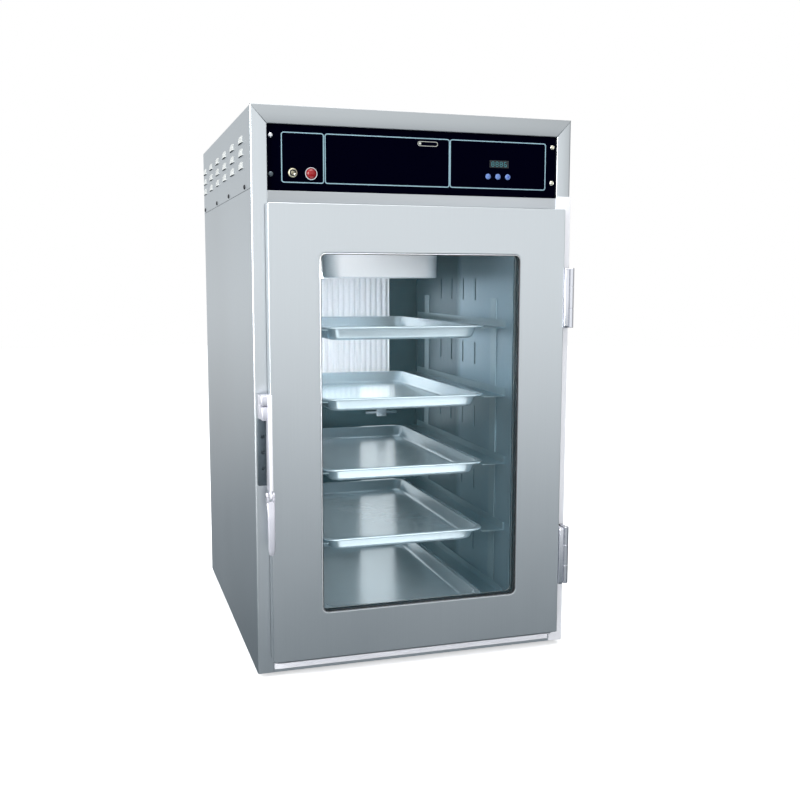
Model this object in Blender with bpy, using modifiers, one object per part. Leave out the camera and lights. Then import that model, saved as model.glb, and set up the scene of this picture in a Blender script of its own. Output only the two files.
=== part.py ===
"""Glass-door proofing cabinet for five full-size gastronorm pans.

Stainless outer shell, insulated liner with side air ducts, ceiling air box with a fan and a
ring heater, control panel in a header above the door, side-hung double-glazed door with two
knuckle hinges and a pull-lever latch.

Metres, +Z up, +Y to the back.  The origin is at the middle of the base, on the floor.
Run in Blender 4.5: blender --background --python part.py
"""
import math

import bmesh
import bpy
from mathutils import Matrix, Vector

# ---------------------------------------------------------------- driving dimensions
BODY_W = 0.600
BODY_D = 0.700
BODY_H = 1.000
FOOT_H = 0.008
SHEET = 0.0015
GAP = 0.0003

LATCH_REACH = 0.055      # how far the latch grip stands ahead of the body's front face
GLAND_REACH = 0.014      # how far the cable gland stands out of the rear panel

SHELL_FRONT = 0.0018     # depth at which the sheets behind the face frame start
SHELL_BACK = 0.6982
FLANGE = 0.0135          # width of the side panels' turned-in flanges
SEAM_H = 0.8600          # height of the seam between the side panels and the top cover
FACE_LOW = 0.0008        # gap under the flat front and rear sheets
BASE_HALF_W = 0.2980
BASE_DEPTH = (0.0040, 0.6960)
BASE_WALL_H = 0.030
FOOT_X = 0.245
FOOT_DEPTHS = {"front": 0.060, "rear": 0.640}
FOOT_RADII = (0.016, 0.018)
VENT_SLOTS = 14
VENT_PITCH = 0.014
VENT_H = (0.880, 0.950)
JAMB_X = (0.2725, 0.2998)
JAMB_FRONT = -0.0033
SILL_HALF_W = 0.2700
SILL_FRONT = -0.0200
SILL_H = (0.0060, 0.0230)

DOOR_HALF_W = 0.2765
DOOR_BOTTOM = 0.028
DOOR_TOP = 0.835
DOOR_FRONT = -0.030      # depth of the door's front face; the body's front face is depth 0
DOOR_BACK = -0.004
WINDOW_HALF_W = 0.188
WINDOW_BOTTOM = 0.1125
WINDOW_TOP = 0.7515
WINDOW_RADIUS = 0.012

PANEL_HALF_W = 0.2715    # opening in the header
PANEL_BOTTOM = 0.857
PANEL_TOP = 0.9690
PANEL_DEPTH = 0.0058     # depth of the control panel's front face
PANEL_SHEET = 0.002

MOUTH_HALF_W = 0.201
CAVITY_BOTTOM = 0.0450
CAVITY_TOP = 0.8000
CAVITY_BACK = 0.6505
LINER_HALF_W = 0.2450
WOOL_HALF_W = 0.2960
WOOL_DEPTH = (0.0062, 0.6940)
WOOL_H = (0.0018, 0.8340)
DUCT_HALF_W = 0.2000
DUCT_OUTER_X = 0.2430
DUCT_DEPTH = (0.0300, 0.6100)
DUCT_H = (0.0456, 0.7994)
DUCT_SLOT_DEPTHS = (0.220, 0.290, 0.360, 0.430)
DUCT_SLOT_W = 0.006
DUCT_SLOT_H = 0.045      # height of a slot, and of its lower end above the pan's rim

STRAP_DEPTHS = ((0.105, 0.135), (0.515, 0.545))
STRAP_H = (0.0600, 0.6700)
SLIDE_INNER_X = 0.1535
SLIDE_DEPTH = (0.058, 0.600)
SLIDE_WALL_H = 0.014

TIERS = 5
FIRST_RIM = 0.087        # height of the lowest pan's rim
TIER_PITCH = 0.133
PAN_HALF_W = 0.1625
PAN_LENGTH = 0.530
PAN_DEEP = 0.025
PAN_FRONT = 0.062
PAN_RIM = 0.0115
PAN_LIP = 0.004
PAN_SHEET = 0.0012
PAN_TAPER = 0.006
PAN_CORNER = 0.024

RIBS = 20
RIBBED_HALF_W = 0.135
RIBBED_FRONT = 0.6330
RIB_RISE = 0.0045
RIBBED_H = (0.4300, 0.7960)

AIR_BOX_HALF_W = 0.1180
AIR_BOX_DEPTH = (0.206, 0.600)
AIR_BOX_BOTTOM = 0.7090
AIR_INTAKE_RADIUS = 0.050
AIR_OUTLET_DEPTH = (0.270, 0.530)
AIR_OUTLET_H = (0.7300, 0.7800)

FAN_DEPTH = 0.400        # depth of the fan's axis
FAN_RADIUS = 0.070
FAN_EYE = 0.060          # radius of the wheel's open underside
FAN_BLADES = 12
FAN_H = (0.7280, 0.7720)
MOTOR_HALF_W = 0.055
MOTOR_HALF_D = 0.035
MOTOR_FOOT_H = (0.8343, 0.8373)
MOTOR_TOP = 0.9150
MOTOR_RADIUS = 0.0330
HEATER_RING = 0.0900
HEATER_H = 0.7450
HEATER_WIRE = 0.0035
HEATER_LEG_X = 0.030

PROBE_X = (0.0740, 0.1540)
PROBE_DEPTH = 0.6320
PROBE_H = 0.3800
PROBE_RADIUS = 0.0045
PROBE_BLOCK_X = (0.1020, 0.1260)

HINGE_X = 0.2935
HINGE_DEPTH = -0.024
HINGE_BARREL = 0.0060
HINGE_PIN = 0.0030
HINGE_KNUCKLE = 0.035    # length of the two knuckles on the jamb leaf
HINGE_H = 0.111
HINGE_BOTTOMS = {"upper": 0.617, "lower": 0.1235}

LOUVRE_LENGTH = 0.058
LOUVRE_H = 0.015
LOUVRE_REACH = 0.0030
LOUVRE_DEPTH = 0.1065    # depth of the first column's middle
LOUVRE_STEP = 0.1117
LOUVRE_TOP_ROW = 0.954
LOUVRE_PITCH = 0.0225

LATCH_PIVOT_DEPTH = -0.042
LATCH_PIVOT_H = 0.334
LATCH_X = (-0.2960, -0.2768)
LATCH_TOP = 0.5110
LATCH_BLOCK_LOW = 0.4665
LATCH_BAR_X = (-0.2848, -0.2768)
LATCH_MID_X = sum(LATCH_BAR_X) / 2
GRIP_H = (0.2315, 0.3240)
TONGUE_HALF_W = 0.0024
TONGUE_RADIUS = 0.0055
LEVER_HALF_W = 0.0074
LEVER_EYE = 0.0070
CROSS_PIN = 0.0022
STRIKE_X = (-0.2962, -0.2792)
STRIKE_H = (0.3470, 0.4650)
STRIKE_HOLES = (0.378, 0.406, 0.434)

TOGGLE_X, TOGGLE_H = -0.2260, 0.888
LAMP_X, LAMP_H = -0.1940, 0.8875
BUTTON_H = 0.8935
BUTTONS = {"set_button": 0.1366, "down_button": 0.1560, "up_button": 0.1754}
BUTTON_RADIUS = 0.0052
DISPLAY_X = (0.1390, 0.1770)
DISPLAY_H = (0.9090, 0.9230)
SCREW_X = 0.2640
SCREW_HEIGHTS = {"lower": 0.885, "upper": 0.950}

GLAND_X, GLAND_H = 0.220, 0.880

FRONT_Y = -(BODY_D + GLAND_REACH - LATCH_REACH) / 2.0

STEEL = ((0.62, 0.66, 0.69, 1.0), 0.32, 1.0)
DARK_STEEL = ((0.30, 0.33, 0.36, 1.0), 0.42, 1.0)
CHROME = ((0.80, 0.82, 0.85, 1.0), 0.12, 1.0)
ALUMINIUM = ((0.78, 0.80, 0.81, 1.0), 0.35, 1.0)
WHITE_WOOL = ((0.86, 0.84, 0.74, 1.0), 0.95, 0.0)
BLACK_PANEL = ((0.004, 0.004, 0.012, 1.0), 0.30, 0.0)
BLACK_PLASTIC = ((0.02, 0.02, 0.022, 1.0), 0.50, 0.0)
GREY_RUBBER = ((0.10, 0.11, 0.12, 1.0), 0.80, 0.0)
RED_LENS = ((0.55, 0.01, 0.01, 1.0), 0.15, 0.0)
BLUE_BUTTON = ((0.19, 0.30, 0.72, 1.0), 0.40, 0.0)
TEAL_DISPLAY = ((0.02, 0.06, 0.08, 1.0), 0.20, 0.0)
CLEAR_GLASS = ((0.80, 0.90, 0.92, 0.35), 0.05, 0.0)

for item in list(bpy.data.objects):
    bpy.data.objects.remove(item, do_unlink=True)

cabinet = bpy.data.collections.new("proofing_cabinet")
tools = bpy.data.collections.new("cutters")
bpy.context.scene.collection.children.link(cabinet)
bpy.context.scene.collection.children.link(tools)


# ---------------------------------------------------------------- helpers
def spot(x, depth, height):
    """A point of the cabinet: depth runs back from the front face, height up from the base."""
    return Vector((x, FRONT_Y + depth, FOOT_H + height))


def add_box(mesh, x, depth, height, radius=0.0, along="Y", segments=4):
    """A box between pairs of x, depth and height, with its edges along one axis rounded."""
    low = spot(x[0], depth[0], height[0])
    high = spot(x[1], depth[1], height[1])
    shape = Matrix.Translation((low + high) / 2) @ Matrix.Diagonal((high - low).to_4d())
    made = bmesh.ops.create_cube(mesh, size=1.0, matrix=shape)
    if radius:
        axis = "XYZ".index(along)
        edges = set()
        for vert in made["verts"]:
            for edge in vert.link_edges:
                direction = edge.verts[1].co - edge.verts[0].co
                if abs(direction[axis]) > 0.99 * direction.length:
                    edges.add(edge)
        bmesh.ops.bevel(mesh, geom=list(edges), offset=radius, segments=segments,
                        profile=0.5, affect="EDGES")


def add_drum(mesh, start, end, radius, end_radius=None, sides=24):
    """A cylinder or a cone frustum from one point to another."""
    along = end - start
    turn = along.to_track_quat("Z", "Y").to_matrix().to_4x4()
    bmesh.ops.create_cone(
        mesh, cap_ends=True, segments=sides, radius1=radius,
        radius2=radius if end_radius is None else end_radius, depth=along.length,
        matrix=Matrix.Translation((start + end) / 2) @ turn)


def place(name, mesh, finish, origin=None):
    """Turn a bmesh in world coordinates into a part whose origin is at its middle or its axis."""
    if origin is None:
        corners = [[pick(v.co[i] for v in mesh.verts) for i in range(3)] for pick in (min, max)]
        origin = (Vector(corners[0]) + Vector(corners[1])) / 2
    bmesh.ops.translate(mesh, verts=mesh.verts, vec=-origin)
    data = bpy.data.meshes.new(name)
    mesh.to_mesh(data)
    mesh.free()
    part = bpy.data.objects.new(name, data)
    part.location = origin
    if finish is None:
        tools.objects.link(part)
        part.hide_render = True
        part.display_type = "WIRE"
        return part
    cabinet.objects.link(part)
    dress(part, finish)
    return part


def dress(part, finish):
    """Give the part its own Principled material and smooth shading between sharp edges."""
    colour, roughness, metallic = finish
    material = bpy.data.materials.new(part.name + "_finish")
    material.use_nodes = True
    shader = material.node_tree.nodes["Principled BSDF"]
    shader.inputs["Base Color"].default_value = colour
    shader.inputs["Alpha"].default_value = colour[3]
    shader.inputs["Roughness"].default_value = roughness
    shader.inputs["Metallic"].default_value = metallic
    part.data.materials.append(material)
    part.data.shade_smooth()
    part.data.set_sharp_from_angle(angle=math.radians(30))


def box_part(name, finish, x, depth, height, **rounding):
    mesh = bmesh.new()
    add_box(mesh, x, depth, height, **rounding)
    return place(name, mesh, finish)


def tool(name, *shapes):
    """A hidden cutting or joining body made of separate boxes and drums."""
    mesh = bmesh.new()
    for adder, arguments, options in shapes:
        adder(mesh, *arguments, **options)
    return place(name, mesh, None)


def box(x, depth, height, **options):
    return add_box, (x, depth, height), options


def drum(start, end, radius, **options):
    return add_drum, (start, end, radius), options


def combine(part, operation, other):
    step = part.modifiers.new(operation.lower() + "_" + other.name, "BOOLEAN")
    step.operation = operation
    step.object = other
    step.solver = "EXACT"


def cut(part, *shapes):
    combine(part, "DIFFERENCE", tool(f"{part.name}_cut_{len(part.modifiers)}", *shapes))


def join(part, *shapes):
    combine(part, "UNION", tool(f"{part.name}_add_{len(part.modifiers)}", *shapes))


def mirrored(pair):
    """The same stretch of x on the other side of the middle plane."""
    return -pair[1], -pair[0]


def both_ways(half):
    return -half, half


def inside(pair, margin=SHEET):
    """A stretch shortened at both ends, by a sheet's thickness unless told otherwise."""
    return pair[0] + margin, pair[1] - margin


def axis_empty(name, location):
    """An empty on a joint's axis; the pieces that turn about it are its children."""
    empty = bpy.data.objects.new(name, None)
    empty.location = location
    empty.empty_display_size = 0.03
    cabinet.objects.link(empty)
    return empty


def hang(parts, empty):
    for part in parts:
        part.parent = empty
        part.location = part.location - empty.location


# ---------------------------------------------------------------- outer shell
def build_feet():
    for end, depth in FOOT_DEPTHS.items():
        for side, x in (("left", -FOOT_X), ("right", FOOT_X)):
            mesh = bmesh.new()
            top = spot(x, depth, -GAP)
            add_drum(mesh, Vector((x, top.y, 0.0)), top, FOOT_RADII[0], end_radius=FOOT_RADII[1],
                     sides=28)
            place(f"{end}_{side}_foot", mesh, GREY_RUBBER)


def build_base_pan():
    pan = box_part("base_pan", DARK_STEEL, both_ways(BASE_HALF_W), BASE_DEPTH, (0.0, BASE_WALL_H))
    cut(pan, box(both_ways(BASE_HALF_W - SHEET), inside(BASE_DEPTH), (SHEET, BASE_WALL_H + 0.020)))


def build_side_panels():
    """Channel-shaped sheets: a flat side with a front and a rear flange turned inwards."""
    half = BODY_W / 2
    for side, turn in (("left", mirrored), ("right", tuple)):
        panel = box_part(f"{side}_side_panel", STEEL, turn((half - FLANGE, half)),
                         (SHELL_FRONT, SHELL_BACK), (0.0, SEAM_H - GAP))
        cut(panel, box(turn((half - 2 * FLANGE, half - SHEET)),
                       inside((SHELL_FRONT, SHELL_BACK)), (-0.010, 0.900)))


def build_rear_panel():
    """Flat rear sheet with a vent grid for the service space and a hole for the gland."""
    half = BODY_W / 2 - SHEET
    panel = box_part("rear_panel", STEEL, both_ways(half), (BODY_D - SHEET, BODY_D),
                     (FACE_LOW, 0.9980))
    through = (BODY_D - 0.010, BODY_D + 0.010)
    slots = [box((x, x + 0.004), through, VENT_H)
             for x in (-0.200 + VENT_PITCH * i for i in range(VENT_SLOTS))]
    cut(panel, *slots)
    cut(panel, drum(spot(GLAND_X, through[0], GLAND_H), spot(GLAND_X, through[1], GLAND_H), 0.0080))


def louvre_shape(mesh, side, depth, height, grow):
    """A pressed hood: a wedge that leans out to its lower edge, or, when grown, its hollow."""
    wall = side * BODY_W / 2
    reach = side * (LOUVRE_REACH - (0.0009 if grow else 0.0))
    root = side * -(0.0060 if grow else 0.0005)
    half_length = LOUVRE_LENGTH / 2 - (0.0010 if grow else 0.0)
    low = height - LOUVRE_H / 2 - (0.0015 if grow else 0.0)
    high = height + LOUVRE_H / 2 - (0.0012 if grow else 0.0)
    x = sorted((wall + root, wall + reach))
    first = len(mesh.verts)
    add_box(mesh, x, (depth - half_length, depth + half_length), (low, high))
    mesh.verts.ensure_lookup_table()
    top = spot(0, 0, high).z - 1e-6
    for vert in mesh.verts[first:]:
        outer = abs(vert.co.x - (wall + reach)) < 1e-6
        if outer and vert.co.z > top:
            vert.co.x = wall + side * (0.0002 if not grow else -0.0004)


def build_top_cover():
    """Inverted U over the service space, with three rows of six louvres on each side."""
    half = BODY_W / 2
    cover = box_part("top_cover", STEEL, both_ways(half), (SHELL_FRONT, SHELL_BACK - 0.0002),
                     (SEAM_H + 0.0005, BODY_H))
    cut(cover, box(both_ways(half - SHEET), (-0.010, 0.720), (0.800, BODY_H - SHEET)))
    for grow in (False, True):
        mesh = bmesh.new()
        for side in (-1, 1):
            for row in range(3):
                for column in range(6):
                    depth = LOUVRE_DEPTH + LOUVRE_STEP * column
                    louvre_shape(mesh, side, depth, LOUVRE_TOP_ROW - LOUVRE_PITCH * row, grow)
        other = place("louvre_hollows" if grow else "louvre_hoods", mesh, None)
        combine(cover, "DIFFERENCE" if grow else "UNION", other)


def build_front_bezel():
    """Face frame with the control opening, which has a lip turned inwards, and the oven mouth."""
    opening = (both_ways(PANEL_HALF_W), (PANEL_BOTTOM, PANEL_TOP))
    bezel = box_part("front_bezel", STEEL, both_ways(BODY_W / 2), (0.0, SHEET), (0.0, BODY_H))
    join(bezel, box(both_ways(PANEL_HALF_W + SHEET), (0.0005, PANEL_DEPTH - GAP),
                    (PANEL_BOTTOM - SHEET, PANEL_TOP + SHEET)))
    cut(bezel, box(opening[0], (-0.010, 0.020), opening[1]))
    cut(bezel, box(both_ways(MOUTH_HALF_W), (-0.010, 0.020), (CAVITY_BOTTOM, CAVITY_TOP)))


def build_front_strips():
    """The hinge jamb beside the door and the angle-section sill under it."""
    box_part("hinge_jamb", STEEL, JAMB_X, (JAMB_FRONT, -GAP), (FACE_LOW, SEAM_H))
    sill = box_part("sill_strip", STEEL, both_ways(SILL_HALF_W), (SILL_FRONT, -GAP), SILL_H)
    cut(sill, box(both_ways(SILL_HALF_W + 0.010), (SILL_FRONT - 0.010, -GAP - SHEET),
                  (0.0, SILL_H[1] - SHEET)))


# ---------------------------------------------------------------- cavity
def riser_spots(height):
    """Where the heater's two legs stand, either side of the middle, behind the fan."""
    return [spot(x, FAN_DEPTH + 0.085, height) for x in both_ways(HEATER_LEG_X)]


def roof_holes(leg_radius, shaft_radius):
    holes = [drum(spot(0, FAN_DEPTH, 0.780), spot(0, FAN_DEPTH, 0.900), shaft_radius)]
    for low, high in zip(riser_spots(0.780), riser_spots(0.900)):
        holes.append(drum(low, high, leg_radius, sides=16))
    return holes


def build_liner():
    liner = box_part("cavity_liner", STEEL, both_ways(LINER_HALF_W),
                     (SHELL_FRONT, CAVITY_BACK + SHEET), (CAVITY_BOTTOM - SHEET, CAVITY_TOP + SHEET))
    cut(liner, box(both_ways(LINER_HALF_W - SHEET), (-0.050, CAVITY_BACK),
                   (CAVITY_BOTTOM, CAVITY_TOP)))
    cut(liner, *roof_holes(0.0060, 0.0080))


def build_insulation():
    """Mineral wool on five sides of the liner."""
    wool = box_part("insulation_jacket", WHITE_WOOL, both_ways(WOOL_HALF_W), WOOL_DEPTH, WOOL_H)
    cut(wool, box(both_ways(LINER_HALF_W + GAP), (-0.050, CAVITY_BACK + SHEET + GAP),
                  (CAVITY_BOTTOM - SHEET - GAP, CAVITY_TOP + SHEET + GAP)))
    cut(wool, *roof_holes(0.0075, 0.0100))


def rim_height(tier):
    return FIRST_RIM + TIER_PITCH * tier


def build_duct_panels():
    """Channel sheets that make an air duct along each side wall, with slots above each pan."""
    for side, turn in (("left", mirrored), ("right", tuple)):
        panel = box_part(f"{side}_duct_panel", STEEL, turn((DUCT_HALF_W, DUCT_OUTER_X)),
                         DUCT_DEPTH, DUCT_H)
        cut(panel, box(turn((DUCT_HALF_W + SHEET, DUCT_OUTER_X + 0.020)), inside(DUCT_DEPTH),
                       (0.0000, 0.9000)))
        through = turn((DUCT_HALF_W - 0.010, DUCT_HALF_W + 0.010))
        slots = []
        for tier in range(TIERS):
            low = rim_height(tier) + DUCT_SLOT_H
            for depth in DUCT_SLOT_DEPTHS:
                slots.append(box(through, (depth, depth + DUCT_SLOT_W), (low, low + DUCT_SLOT_H)))
        cut(panel, *slots)


def build_pan_racks():
    """Angle slides on flat straps, one rack on each duct panel."""
    wall = DUCT_HALF_W - GAP
    for side, turn in (("left", mirrored), ("right", tuple)):
        front_strap, rear_strap = STRAP_DEPTHS
        rack = box_part(f"{side}_pan_rack", STEEL, turn((wall - SHEET, wall)), front_strap, STRAP_H)
        join(rack, box(turn((wall - SHEET, wall)), rear_strap, STRAP_H))
        for tier in range(TIERS):
            ledge = rim_height(tier) - PAN_LIP - GAP
            slide = tool(f"{side}_slide_{tier}",
                         box(turn((SLIDE_INNER_X, wall - 0.0002)), SLIDE_DEPTH,
                             (ledge - SHEET, ledge + SLIDE_WALL_H)))
            inner = tool(f"{side}_slide_hollow_{tier}",
                         box(turn((SLIDE_INNER_X - 0.0035, wall - 0.0002 - SHEET)),
                             (SLIDE_DEPTH[0] - 0.010, SLIDE_DEPTH[1] + 0.010),
                             (ledge, ledge + 0.020)))
            combine(slide, "DIFFERENCE", inner)
            combine(rack, "UNION", slide)


def build_pans():
    """Gastronorm trays: a rolled-out flat rim round a shallow tapered well."""
    well_half_w = PAN_HALF_W - PAN_RIM
    well_half_l = PAN_LENGTH / 2 - PAN_RIM
    floor = Matrix.Diagonal((well_half_w - PAN_TAPER, well_half_l - PAN_TAPER, 1, 1))
    mesh = bmesh.new()
    bmesh.ops.create_grid(mesh, x_segments=1, y_segments=1, size=1.0, matrix=floor)
    bmesh.ops.bevel(mesh, geom=list(mesh.verts), offset=PAN_CORNER, segments=4, profile=0.5,
                    affect="VERTICES")
    bmesh.ops.translate(mesh, verts=mesh.verts, vec=(0, 0, -PAN_DEEP))
    for half_w, half_l, rise in ((well_half_w, well_half_l, PAN_DEEP),
                                 (PAN_HALF_W, PAN_LENGTH / 2, 0.0),
                                 (PAN_HALF_W, PAN_LENGTH / 2, -PAN_LIP)):
        edge = [e for e in mesh.edges if e.is_boundary]
        reach_w = max(v.co.x for v in mesh.verts)
        reach_l = max(v.co.y for v in mesh.verts)
        grown = bmesh.ops.extrude_edge_only(mesh, edges=edge)["geom"]
        fresh = [g for g in grown if isinstance(g, bmesh.types.BMVert)]
        for vert in fresh:
            vert.co.x += math.copysign(half_w - reach_w, vert.co.x)
            vert.co.y += math.copysign(half_l - reach_l, vert.co.y)
            vert.co.z += rise
    bmesh.ops.recalc_face_normals(mesh, faces=mesh.faces)
    data = bpy.data.meshes.new("gastronorm_pan")
    mesh.to_mesh(data)
    mesh.free()
    for tier in range(TIERS):
        pan = bpy.data.objects.new(f"pan_{tier + 1}", data.copy())
        pan.location = spot(0, PAN_FRONT + PAN_LENGTH / 2, rim_height(tier))
        cabinet.objects.link(pan)
        thick = pan.modifiers.new("sheet", "SOLIDIFY")
        thick.thickness = PAN_SHEET
        thick.offset = -1.0
        thick.use_even_offset = True
        dress(pan, STEEL)


def build_rear_air_panel():
    """Vertically ribbed sheet that hangs on the cavity's back wall."""
    pitch = 2 * RIBBED_HALF_W / RIBS
    front, crest = RIBBED_FRONT, RIBBED_FRONT - RIB_RISE
    low, high = RIBBED_H
    points = [(-RIBBED_HALF_W, CAVITY_BACK - 0.0010)]
    for rib in range(RIBS):
        left = -RIBBED_HALF_W + rib * pitch
        points += [(left, front), (left + 0.35 * pitch, front),
                   (left + 0.50 * pitch, crest), (left + 0.85 * pitch, crest)]
    points += [(RIBBED_HALF_W, front), (RIBBED_HALF_W, CAVITY_BACK - 0.0010)]
    mesh = bmesh.new()
    verts = [mesh.verts.new(spot(x, depth, low)) for x, depth in points]
    edges = [mesh.edges.new(pair) for pair in zip(verts, verts[1:])]
    grown = bmesh.ops.extrude_edge_only(mesh, edges=edges)["geom"]
    fresh = [g for g in grown if isinstance(g, bmesh.types.BMVert)]
    bmesh.ops.translate(mesh, verts=fresh, vec=(0, 0, high - low))
    panel = place("rear_air_panel", mesh, ALUMINIUM)
    thick = panel.modifiers.new("sheet", "SOLIDIFY")
    thick.thickness = 0.0010
    thick.offset = 0.0


def build_ceiling_air_box():
    """Open-topped box on the cavity's ceiling: intake below the fan, an outlet in each side."""
    low = AIR_BOX_BOTTOM
    housing = box_part("ceiling_air_box", ALUMINIUM, both_ways(AIR_BOX_HALF_W), AIR_BOX_DEPTH,
                       (low, CAVITY_TOP - 0.0008))
    cut(housing, box(both_ways(AIR_BOX_HALF_W - SHEET), inside(AIR_BOX_DEPTH), (low + SHEET, 0.900)))
    cut(housing, drum(spot(0, FAN_DEPTH, low - 0.010), spot(0, FAN_DEPTH, low + 0.010),
                      AIR_INTAKE_RADIUS, sides=24))
    cut(housing, box(both_ways(AIR_BOX_HALF_W + 0.010), AIR_OUTLET_DEPTH, AIR_OUTLET_H))


def build_fan():
    """Centrifugal wheel on its shaft, hung from a motor that stands in the service space."""
    low, high = FAN_H
    axis = spot(0, FAN_DEPTH, 0.7600)
    mesh = bmesh.new()
    add_drum(mesh, spot(0, FAN_DEPTH, high - 0.0020), spot(0, FAN_DEPTH, high), FAN_RADIUS, sides=36)
    wheel = place("fan_wheel", mesh, ALUMINIUM, origin=axis)
    join(wheel, drum(spot(0, FAN_DEPTH, 0.7400), spot(0, FAN_DEPTH, 0.7800), 0.0120))
    join(wheel, drum(spot(0, FAN_DEPTH, 0.7600), spot(0, FAN_DEPTH, 0.8520), 0.0040, sides=16))
    mesh = bmesh.new()
    for blade in range(FAN_BLADES):
        first = len(mesh.verts)
        add_box(mesh, (0.0440, FAN_RADIUS - 0.0020), (FAN_DEPTH - 0.0008, FAN_DEPTH + 0.0008),
                (low + 0.0020, high - 0.0010))
        mesh.verts.ensure_lookup_table()
        bmesh.ops.rotate(mesh, verts=mesh.verts[first:], cent=axis,
                         matrix=Matrix.Rotation(math.tau * blade / FAN_BLADES, 3, "Z"))
    combine(wheel, "UNION", place("fan_blades", mesh, None))
    ring = tool("fan_ring", drum(spot(0, FAN_DEPTH, low), spot(0, FAN_DEPTH, low + 0.0030),
                                 FAN_RADIUS, sides=36))
    combine(ring, "DIFFERENCE", tool("fan_eye", drum(
        spot(0, FAN_DEPTH, low - 0.0080), spot(0, FAN_DEPTH, low + 0.0120), FAN_EYE, sides=36)))
    combine(wheel, "UNION", ring)

    motor = box_part("fan_motor", BLACK_PLASTIC, both_ways(MOTOR_HALF_W),
                     (FAN_DEPTH - MOTOR_HALF_D, FAN_DEPTH + MOTOR_HALF_D), MOTOR_FOOT_H)
    join(motor, drum(spot(0, FAN_DEPTH, 0.8360), spot(0, FAN_DEPTH, MOTOR_TOP), MOTOR_RADIUS,
                     sides=32))
    cut(motor, drum(spot(0, FAN_DEPTH, 0.8200), spot(0, FAN_DEPTH, 0.8560), 0.0046, sides=16))


def build_heater():
    """Tubular ring round the fan wheel, with both ends turned up through the roof."""
    ring, height = HEATER_RING, HEATER_H
    opening = math.asin(HEATER_LEG_X / ring)
    turns = 30
    start = math.pi / 2 + opening
    sweep = math.tau - 2 * opening
    route = []
    for step in range(turns + 1):
        angle = start + sweep * step / turns
        route.append(spot(ring * math.cos(angle), FAN_DEPTH + ring * math.sin(angle), height))
    left_leg, right_leg = riser_spots(0.8480)
    near = [Vector((leg.x, leg.y, spot(0, 0, height + 0.012).z)) for leg in (left_leg, right_leg)]
    route = [left_leg, near[0]] + route + [near[1], right_leg]
    wire = bpy.data.curves.new("heater_wire", "CURVE")
    wire.dimensions = "3D"
    wire.bevel_depth = HEATER_WIRE
    wire.bevel_resolution = 2
    wire.use_fill_caps = True
    spline = wire.splines.new("POLY")
    spline.points.add(len(route) - 1)
    centre = spot(0, FAN_DEPTH, height)
    for point, place_at in zip(spline.points, route):
        point.co = (place_at - centre).to_4d()
    heater = bpy.data.objects.new("heating_element", wire)
    heater.location = centre
    cabinet.objects.link(heater)
    material = bpy.data.materials.new("heating_element_finish")
    material.use_nodes = True
    shader = material.node_tree.nodes["Principled BSDF"]
    shader.inputs["Base Color"].default_value = DARK_STEEL[0]
    shader.inputs["Metallic"].default_value = 1.0
    wire.materials.append(material)


def build_probe():
    """Temperature sensor: a sheath along the back wall in a small block."""
    ends = [spot(x, PROBE_DEPTH, PROBE_H) for x in PROBE_X]
    mesh = bmesh.new()
    add_drum(mesh, *ends, PROBE_RADIUS, sides=16)
    probe = place("temperature_probe", mesh, CHROME)
    join(probe, box(PROBE_BLOCK_X, (PROBE_DEPTH - 0.0070, CAVITY_BACK - GAP),
                    (PROBE_H - 2 * PROBE_RADIUS, PROBE_H + 2 * PROBE_RADIUS)))


# ---------------------------------------------------------------- controls
def build_control_panel():
    back = PANEL_DEPTH + PANEL_SHEET
    panel = box_part("control_panel", BLACK_PANEL, both_ways(PANEL_HALF_W + 0.003),
                     (PANEL_DEPTH, back), (PANEL_BOTTOM - 0.003, PANEL_TOP + 0.003))
    through = (PANEL_DEPTH - 0.010, back + 0.010)
    holes = [(TOGGLE_X, TOGGLE_H, 0.0062), (LAMP_X, LAMP_H, 0.0084)]
    holes += [(x, BUTTON_H, BUTTON_RADIUS + 0.0004) for x in BUTTONS.values()]
    holes += [(side * SCREW_X, height, 0.0024)
              for side in (-1, 1) for height in SCREW_HEIGHTS.values()]
    cut(panel, *[drum(spot(x, through[0], height), spot(x, through[1], height), radius)
                 for x, height, radius in holes])
    cut(panel, box(DISPLAY_X, through, DISPLAY_H))
    controller = box_part("temperature_controller", TEAL_DISPLAY, inside(DISPLAY_X, GAP),
                          (PANEL_DEPTH - 0.0006, back + 0.010), inside(DISPLAY_H, GAP))
    join(controller, box((0.1150, 0.2000), (back + 0.0060, 0.0600), (0.8780, 0.9520),
                         radius=0.003, along="Z"))

    for level, height in SCREW_HEIGHTS.items():
        for side, x in (("left", -SCREW_X), ("right", SCREW_X)):
            mesh = bmesh.new()
            add_drum(mesh, spot(x, PANEL_DEPTH - GAP, height), spot(x, PANEL_DEPTH - 0.0022, height),
                     0.0042, end_radius=0.0026, sides=20)
            screw = place(f"{level}_{side}_panel_screw", mesh, CHROME)
            join(screw, drum(spot(x, PANEL_DEPTH - 0.0010, height), spot(x, back + 0.006, height),
                             0.0019, sides=12))

    for name, x in BUTTONS.items():
        mesh = bmesh.new()
        add_drum(mesh, spot(x, PANEL_DEPTH - 0.0004, BUTTON_H), spot(x, back + 0.004, BUTTON_H),
                 BUTTON_RADIUS, sides=24)
        button = place(name, mesh, BLUE_BUTTON)
        join(button, drum(spot(x, PANEL_DEPTH - 0.0020, BUTTON_H), spot(x, PANEL_DEPTH, BUTTON_H),
                          BUTTON_RADIUS - 0.0012, end_radius=BUTTON_RADIUS - 0.0002))


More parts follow.
